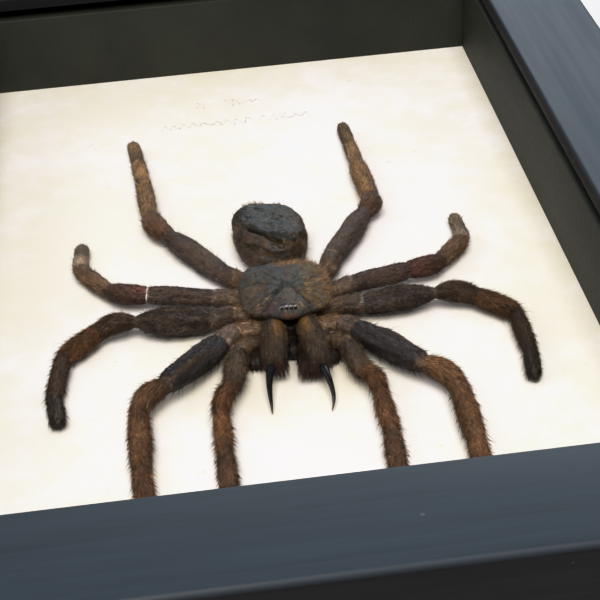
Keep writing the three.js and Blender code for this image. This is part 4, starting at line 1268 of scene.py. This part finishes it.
carapace = {"y": 20.8, "halfWidth": 8.8, "halfLength": 10.2, "rearLength": 12.0, "margin": 5.9, "rim": 1.1,
            "dome": 2.3, "headLift": 0.6, "frontLift": 1.3, "taper": 0.4, "rearCorner": 0.52,
            "foot": (0.93, 0.95)}
# eyes on the mound: place across and forward from the shield's middle, and radius
eyes = {"mound": (0.25, 8.5),
        "row": [(-1.12, 8.85, 0.34), (-0.28, 9.15, 0.34), (0.6, 9.15, 0.34), (1.5, 8.85, 0.32),
                (-0.95, 8.1, 0.20), (-0.35, 8.25, 0.17), (0.85, 8.25, 0.17), (1.4, 8.1, 0.20)]}


shellTones = {"slate": tone(60, 61, 59), "warmSlate": tone(80, 64, 56), "ochre": tone(130, 102, 60),
              "speck": tone(184, 156, 104), "bruise": tone(70, 56, 58), "shadedCrease": tone(30, 24, 22),
              "furrow": tone(48, 38, 32), "rim": tone(104, 78, 50), "lids": tone(190, 182, 188),
              "front": tone(88, 62, 44), "coat": tone(84, 74, 60), "goldenCoat": tone(140, 114, 72),
              "mane": tone(186, 144, 98), "eyes": tone(12, 12, 14)}


def carapaceHeight(x, v, share):     # mm over the margin, x and v from the shield's middle
    forward = np.maximum(v, 0)
    groove = bell(np.abs(x) - 0.6 - 0.72 * forward, 0.7) * smooth(-1.5, 1.0, v) * (1 - share ** 10)
    inside = smooth(1.0 + 0.76 * forward, 0.2 + 0.64 * forward, np.abs(x)) * smooth(-1, 2.5, v)
    head = (carapace["headLift"] * smooth(-1, 6, v) * np.exp(-(x / 6.2) ** 4)
            + 0.7 * inside * (1 - share ** 12))
    mound = 0.6 * bell(np.hypot((x - eyes["mound"][0]) / 1.3, v - eyes["mound"][1]), 1.3)
    dimple = 0.5 * bell(np.hypot(x, v + 0.6), 1.1)
    bumps = mound - dimple - 1.3 * groove
    lift = carapace["frontLift"] * smooth(3.5, 10, v)
    return carapace["rim"] + carapace["dome"] * (1 - share ** 2.2) + head + bumps * (1 - share ** 14) + lift


def makeCarapace():
    width, length, margin = carapace["halfWidth"], carapace["halfLength"], carapace["margin"]
    centre = above((bodyX, carapace["y"], margin))
    bpy.ops.object.select_all(action="DESELECT")
    bpy.ops.mesh.primitive_circle_add(vertices=64, radius=mm, fill_type="NGON", location=centre)
    shield = justAdded("carapace_shell")
    footWide, footLong = carapace["foot"]
    bpy.ops.transform.resize(value=(width * footWide, length * footLong, 1), center_override=centre)
    lift = Vector((0, 0, carapace["rim"] * mm))
    bpy.ops.mesh.extrude_region_move(TRANSFORM_OT_translate={"value": lift})
    bpy.ops.transform.resize(value=(1 / footWide, 1 / footLong, 1), center_override=centre)
    shares = [1, 0.965, 0.93, 0.88, 0.82, 0.75, 0.68, 0.6, 0.52, 0.44, 0.36, 0.28, 0.2, 0.13, 0.06]
    for before, now in zip(shares, shares[1:]):      # rings towards the middle
        bpy.ops.mesh.extrude_region_move(TRANSFORM_OT_translate={"value": (0, 0, 0)})
        bpy.ops.transform.resize(value=(now / before, now / before, 1), center_override=centre)
    outOfEdit(shield)
    # the outline and the relief: a squarer back, a narrower front, a raised head and grooves round it
    places = pointsOf(shield) / mm
    x, v = places[:, 0] - bodyX, places[:, 1] - carapace["y"]
    low = places[:, 2] < margin + sheetTop + 0.5
    reach = np.maximum(np.hypot(x / width, v / length), 1e-6)
    aside, forward = x / width / reach, v / length / reach
    square = np.where(forward > 0, 1.0, carapace["rearCorner"])
    taper = 1 - carapace["taper"] * np.maximum(forward, 0) ** 3.4
    x = np.sign(aside) * np.abs(aside) ** square * width * taper * reach
    v = (np.sign(forward) * np.abs(forward) ** square
         * np.where(forward > 0, length, carapace["rearLength"]) * reach)
    share = np.clip(reach, 0, 1)
    z = np.where(low, carapace["frontLift"] * smooth(3.5, 10, v), carapaceHeight(x, v, share))
    placePoints(shield, np.stack([x + bodyX, v + carapace["y"], z + margin + sheetTop], axis=1) * mm)
    refine(shield, 2)
    places, normals = pointsOf(shield) / mm, normalsOf(shield)
    x, v = places[:, 0] - bodyX, places[:, 1] - carapace["y"]
    overEdge = places[:, 2] - margin - sheetTop - carapace["frontLift"] * smooth(3.5, 10, v)
    top = smooth(0.6, 1.6, overEdge)
    # furrows that run out from the dimple to between the legs
    angle = np.arctan2(v, np.abs(x))
    far = np.hypot(x, v)
    furrow = sum(bell((angle - a) * np.maximum(far, 1), 0.42) for a in (-1.05, -0.5, 0.02, 0.5))
    furrow *= smooth(1.6, 4.0, far) * (1 - smooth(7.6, 9.6, far))
    fine = ripple(places * mm, 0.9, 5) * 0.12 + ripple(places * mm, 2.4, 2) * 0.2
    pit = -0.5 * bell(x, 0.45) * bell(v + 0.6, 0.8)
    placePoints(shield, (places + normals * ((fine - 0.25 * furrow + pit) * top)[:, None]) * mm)
    # slate shell; ochre dust and hair on the left flank, along the back and in the grooves of the head
    flank = smooth(1.5, 6.0, -x) * smooth(-12, -5, v) * smooth(9.5, 5, v)
    back = bell(v + 11.0, 2.2) * smooth(3.5, -2, x)
    shadedCrease = bell(np.abs(x) - 0.6 - 0.72 * np.maximum(v, 0), 0.5) * smooth(-0.5, 1.5, v)
    groove = (bell(np.abs(x) - 1.5 - 0.74 * np.maximum(v, 0), 0.45) * smooth(0.5, 2.5, v)
              * np.where(x < 0, 1.0, 0.3))
    bend = angle * 4.2 + np.sign(x) * 9 + 0.7 * ripple(places * mm, 2.8, 37)
    streak = (smooth(0.0, 0.45, ripple(np.stack([far * 0.3, bend, v * 0], axis=1) * mm, 0.8, 41))
              * smooth(1.5, 4.0, far))
    patches = 0.7 * bell(np.hypot(x - 6.0, v - 5.0), 2.2) + 0.55 * bell(np.hypot(x - 6.2, v + 2.0), 2.0) + \
        0.75 * bell(np.hypot(x + 0.2, v - 5.4), 1.3) + 0.5 * bell(np.hypot(x + 1.7, v - 7.4), 1.0)
    ochre = np.clip(flank * 0.85 + back + groove + patches, 0, 1)
    rough = smooth(-0.25, 0.3, ripple(places * mm, 1.3, 8) + 0.6 * ripple(places * mm, 0.45, 3))
    slate = mixTones(shellTones["slate"], shellTones["warmSlate"],
                     smooth(0, 0.5, ripple(places * mm, 2.6, 30)))
    slate[:, :3] *= (1 - 0.35 * bell(x, 3.2) * smooth(2, -4, v))[:, None]
    speck = smooth(0.12, 0.3, ripple(places * mm, 0.5, 61))
    colours = mixTones(slate, shellTones["ochre"], ochre * (0.2 + 0.45 * rough + 0.45 * streak) * 0.9)
    colours = mixTones(colours, shellTones["speck"],
                       0.85 * streak * speck * np.clip(flank + 0.5 * ochre + 0.25 * top, 0, 1))
    colours = mixTones(colours, shellTones["bruise"], bell(np.hypot(x - 4.2, v - 7.0), 2.8) * 0.8)
    # near-black along the V creases of the head: painted shade
    colours = mixTones(colours, shellTones["shadedCrease"], 0.75 * shadedCrease * top)
    colours = mixTones(colours, shellTones["furrow"],
                       0.5 * furrow * smooth(0, 0.3, ripple(places * mm, 1.0, 44)))
    rim = 1 - smooth(0.8, 1.5, overEdge)
    colours = mixTones(colours, shellTones["rim"], rim * 0.6 * rough)
    lids = sum(bell(np.hypot(x - ex, v - ev + 0.42), er * 0.8) for ex, ev, er in eyes["row"][:4])
    colours = mixTones(colours, shellTones["lids"], np.clip(lids * 1.2, 0, 1))
    colours = mixTones(colours, shellTones["front"], bell(v - 9.9, 0.3) * smooth(4.5, 3.0, np.abs(x)) * 0.7)
    lie = np.stack([far, angle * 4 + 1.1 * ripple(places * mm, 2.6, 33), places[:, 2]], axis=1) * mm
    finishSkin(shield, colours, lie, shellFinish, "body_shell", "carapace")
    # hair on it lies outwards, golden and thick on the ochre side
    mane = bell(v + 11.0, 2.0) * smooth(3.0, -2, x) + bell(np.hypot((x + 8.0) / 1.2, (v + 4) / 5.5), 1.0)
    dense = ((ochre * (0.2 + 0.5 * rough + 0.5 * streak) * 11 + 2.0) * top * (1 - 0.6 * shadedCrease) + rim * 6
             + 12 * mane)
    roots, ways, near, pickOne = scatter(shield, dense, seeds["carapace"])
    count = len(roots)
    outward = np.stack([x[near], v[near], np.zeros(count)], axis=1) + [0.0, 0.6, 0.0]
    heading = comb(roots, ways, unit(outward), 0.25, 0.5, pickOne, 2.8)
    golden = np.clip(ochre[near] + 0.25 * pickOne.normal(size=count), 0, 1)
    own = mixTones(shellTones["coat"], shellTones["goldenCoat"], golden)
    orange = back[near] + flank[near] * smooth(6.0, 8.5, -x[near]) * 0.5 + 0.9 * mane[near]
    own = mixTones(own, shellTones["mane"], np.clip(orange, 0, 1))
    tones = mixTones(own * 1.25, darkHair, pickOne.random(count) ** 1.2)
    reach = 1 + 0.4 * np.clip(mane[near], 0, 1)
    addHair("carapace_fur", "body_shell", roots, heading, ways * -0.12,
            pickOne.uniform(0.6, 1.5, count) * reach * mm,
            pickOne.uniform(0.05, 0.09, count) * mm, tones, steps=2)
    return shield


def makeEyes(shield):
    # two short rows of polished beads on the mound, joined as one piece
    beads = []
    places = pointsOf(shield)
    for i, (x, v, radius) in enumerate(eyes["row"]):
        px, py = (bodyX + x) * mm, (carapace["y"] + v) * mm
        near = np.where(np.hypot(places[:, 0] - px, places[:, 1] - py) < 0.3 * mm, places[:, 2], 0).max()
        place = (px, py, near + radius * 0.2 * mm)
        bpy.ops.object.select_all(action="DESELECT")
        bpy.ops.mesh.primitive_uv_sphere_add(segments=20, ring_count=12, radius=radius * mm, location=place)
        bead = justAdded(f"eye_{i}")
        bpy.ops.transform.resize(value=(1, 0.9, 0.85), center_override=place)
        beads.append(rounded(outOfEdit(bead), 180))
    bpy.ops.object.select_all(action="DESELECT")
    for bead in beads:
        bead.select_set(True)
    bpy.context.view_layer.objects.active = beads[0]
    bpy.ops.object.join()
    beads[0].name = "eyes"
    keep(beads[0], "tone", "FLOAT_COLOR", np.tile(shellTones["eyes"], (len(beads[0].data.vertices), 1)))
    settle(beads[0], fangMaterial, "fang")


sternum = {"y": 20.0, "halfWidth": 3.4, "halfLength": 9.2, "floor": 0.3, "top": 5.3,
           "foot": 0.72, "skin": tone(24, 17, 14)}


def makeSternum():
    low, high, foot = sternum["floor"], sternum["top"], sternum["foot"]
    centre = above((bodyX, sternum["y"], low))
    bpy.ops.object.select_all(action="DESELECT")
    bpy.ops.mesh.primitive_circle_add(vertices=32, radius=mm, fill_type="NGON", location=centre)
    plate = justAdded("sternum_plate")
    bpy.ops.transform.resize(value=(sternum["halfWidth"] * foot, sternum["halfLength"] * foot, 1),
                             center_override=centre)
    levels = [(low, foot), (low + 0.4, 0.86), (low + 1.2, 0.95), (high - 1, 1), (high - 0.3, 0.97),
              (high, 0.9)]
    for (z0, s0), (z1, s1) in zip(levels, levels[1:]):
        bpy.ops.mesh.extrude_region_move(TRANSFORM_OT_translate={"value": (0, 0, (z1 - z0) * mm)})
        bpy.ops.transform.resize(value=(s1 / s0, s1 / s0, 1), center_override=centre)
    outOfEdit(plate)
    refine(plate, 1)
    places, normals = pointsOf(plate), normalsOf(plate)
    placePoints(plate, places + normals * (ripple(places, 1.2, 6) * 0.15 * mm)[:, None])
    colours = np.tile(sternum["skin"], (len(places), 1))
    finishSkin(plate, colours, places[:, [1, 0, 2]], shellFinish, "body_shell", "sternum")


makeEyes(makeCarapace())
makeSternum()
print("carapace, eyes and sternum are modelled")

abdomen = {"x": -2.3, "y": -4.4, "z": 4.95, "rearSkew": 0.2, "halfWidth": 7.5, "halfLength": 9.9,
           "halfHeight": 4.75,
           "boxiness": 0.62, "foldX": [-9.6, -8.6, -6.8, -3.5, -1.7, -0.4, 1.9, 3.8, 5.0, 6.0],
           "foldY": [-1.0, 1.0, 4.0, 3.6, 2.0, 0.4, -1.5, -4.3, -7.7, -10.0]}


sacTones = {"skin": tone(33, 34, 32), "brown": tone(80, 64, 46), "front": tone(72, 60, 52),
            "rust": tone(98, 68, 54),
            "side": tone(92, 70, 46), "foldEdge": tone(104, 82, 54), "slit": tone(14, 11, 9),
            "coat": tone(156, 122, 74)}


def makeAbdomen():
    centre = above((abdomen["x"], abdomen["y"], abdomen["z"]))
    bpy.ops.object.select_all(action="DESELECT")
    bpy.ops.mesh.primitive_uv_sphere_add(segments=72, ring_count=56, radius=1, location=(0, 0, 0))
    sac = justAdded("abdomen_skin")
    outOfEdit(sac)
    ball = pointsOf(sac)
    boxed = np.sign(ball) * np.abs(ball) ** abdomen["boxiness"]
    across, long, up = boxed[:, 0], boxed[:, 1], boxed[:, 2]
    waist = 1 - 0.3 * np.maximum(long, 0) ** 2 - 0.26 * np.maximum(-long, 0) ** 3
    wide = across * waist
    sunk = 0.1 * bell(long + 0.1, 0.5) * (1 - wide ** 2)
    lid = np.where(ball[:, 2] > 0, 1 - sunk - 0.12 * np.maximum(-long, 0), 1)
    local = np.stack([wide * abdomen["halfWidth"], long * abdomen["halfLength"],
                      up * abdomen["halfHeight"] * lid], axis=1)
    local[:, 1] -= abdomen["rearSkew"] * local[:, 0] * smooth(0, -6, local[:, 1])
    local[:, 0] += 0.35 * smooth(0, -8, local[:, 1]) - 0.55 * smooth(1, 8, local[:, 1])
    placePoints(sac, local * mm + np.array(centre))
    refine(sac, 2)
    # the skin has dried in: a step across the top with a slit in it, a second fold, and slack in front
    places, normals = pointsOf(sac), normalsOf(sac)
    x, y, z = places[:, 0] / mm, places[:, 1] / mm, places[:, 2] / mm - sheetTop
    top = smooth(4.5, 7.0, z)
    ahead = (y - np.interp(x, abdomen["foldX"], abdomen["foldY"])
             + 0.14 * ripple(places * [1, 0.3, 0.3], 1.3, 7))
    second = y - np.interp(x, [-8, -2.9, 2.5, 6], [5.6, 6.6, 3.0, 1.0])
    slit = bell(ahead, 0.27) * smooth(-4.6, -3.2, x) * smooth(3.2, 2.2, x) * top
    front = smooth(-0.1, 1.0, ahead)
    sink = (0.55 * bell(ahead - 0.2, 0.8) + 1.0 * slit + 0.5 * front * top
            + 0.6 * bell(second, 0.55) * smooth(3.5, 6, z))
    fold = ripple(places, 3.2, 4) * 0.3 + ripple(places, 1.1, 9) * 0.14 + ripple(places, 0.45, 2) * 0.03
    fold += front * ripple(places * [0.35, 1, 1], 1.0, 2) * 0.16 - sink * smooth(2, 5, z)
    placePoints(sac, places + normals * (fold * mm)[:, None])
    patch = smooth(-0.15, 0.3, ripple(places, 2.0, 12))
    fine = smooth(-0.2, 0.35, ripple(places, 0.7, 13))
    brown = np.clip(0.55 * patch * fine + 0.5 * smooth(-3, -8.5, x) * fine * (1 - front), 0, 1)
    colours = mixTones(sacTones["skin"], sacTones["brown"], brown)
    colours = mixTones(colours, sacTones["front"], front * (0.4 + 0.5 * patch))
    colours = mixTones(colours, sacTones["rust"], front * smooth(0.15, 0.5, ripple(places, 1.5, 20)) * 0.45)
    side = smooth(6.0, 3.5, z) * (1 - front)
    colours = mixTones(colours, sacTones["side"], side * (0.25 + 0.4 * fine))
    colours = mixTones(colours, sacTones["foldEdge"],
                       bell(ahead, 0.35) * (1 - slit) * top * (0.2 + 0.6 * fine))
    # near-black along the slit: painted shade in the fold
    colours = mixTones(colours, sacTones["slit"], np.clip(slit * 1.3, 0, 1))
    finishSkin(sac, colours, places[:, [1, 0, 2]], shellFinish, "body_shell", "abdomen")
    steep = normalsOf(sac)[:, 2]
    brim = smooth(0.15, 0.5, steep) * smooth(0.97, 0.85, steep) * smooth(4.5, 6.5, z) * (1 - front)
    brim *= (0.15 + 0.85 * smooth(-10.5, -12.5, y)) * smooth(-0.15, 0.35, ripple(places, 1.4, 70))
    dense = (0.7 + 0.5 * front + 4.0 * bell(ahead, 0.4) * top * smooth(-2, -4, x) + 7.0 * side
             + 2.5 * front + 16.0 * brim)
    roots, ways, near, pickOne = scatter(sac, dense, seeds["abdomen"])
    count = len(roots)
    back = np.tile([0.15, -1.0, 0.0], (count, 1))
    heading = comb(roots, ways, back, 0.5 + 0.4 * brim[near], 0.8, pickOne)
    tones = mixTones(sacTones["coat"], darkHair, pickOne.random(count) ** 1.1)
    addHair("abdomen_fur", "body_shell", roots, heading, back * 0.2, pickOne.uniform(0.4, 1.3, count) * mm,
            pickOne.uniform(0.04, 0.075, count) * mm, tones, steps=2)


makeAbdomen()
print("abdomen is modelled")

size = {"cad": [list(c) for c in cadBox], "visual": [list(c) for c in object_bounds()]}
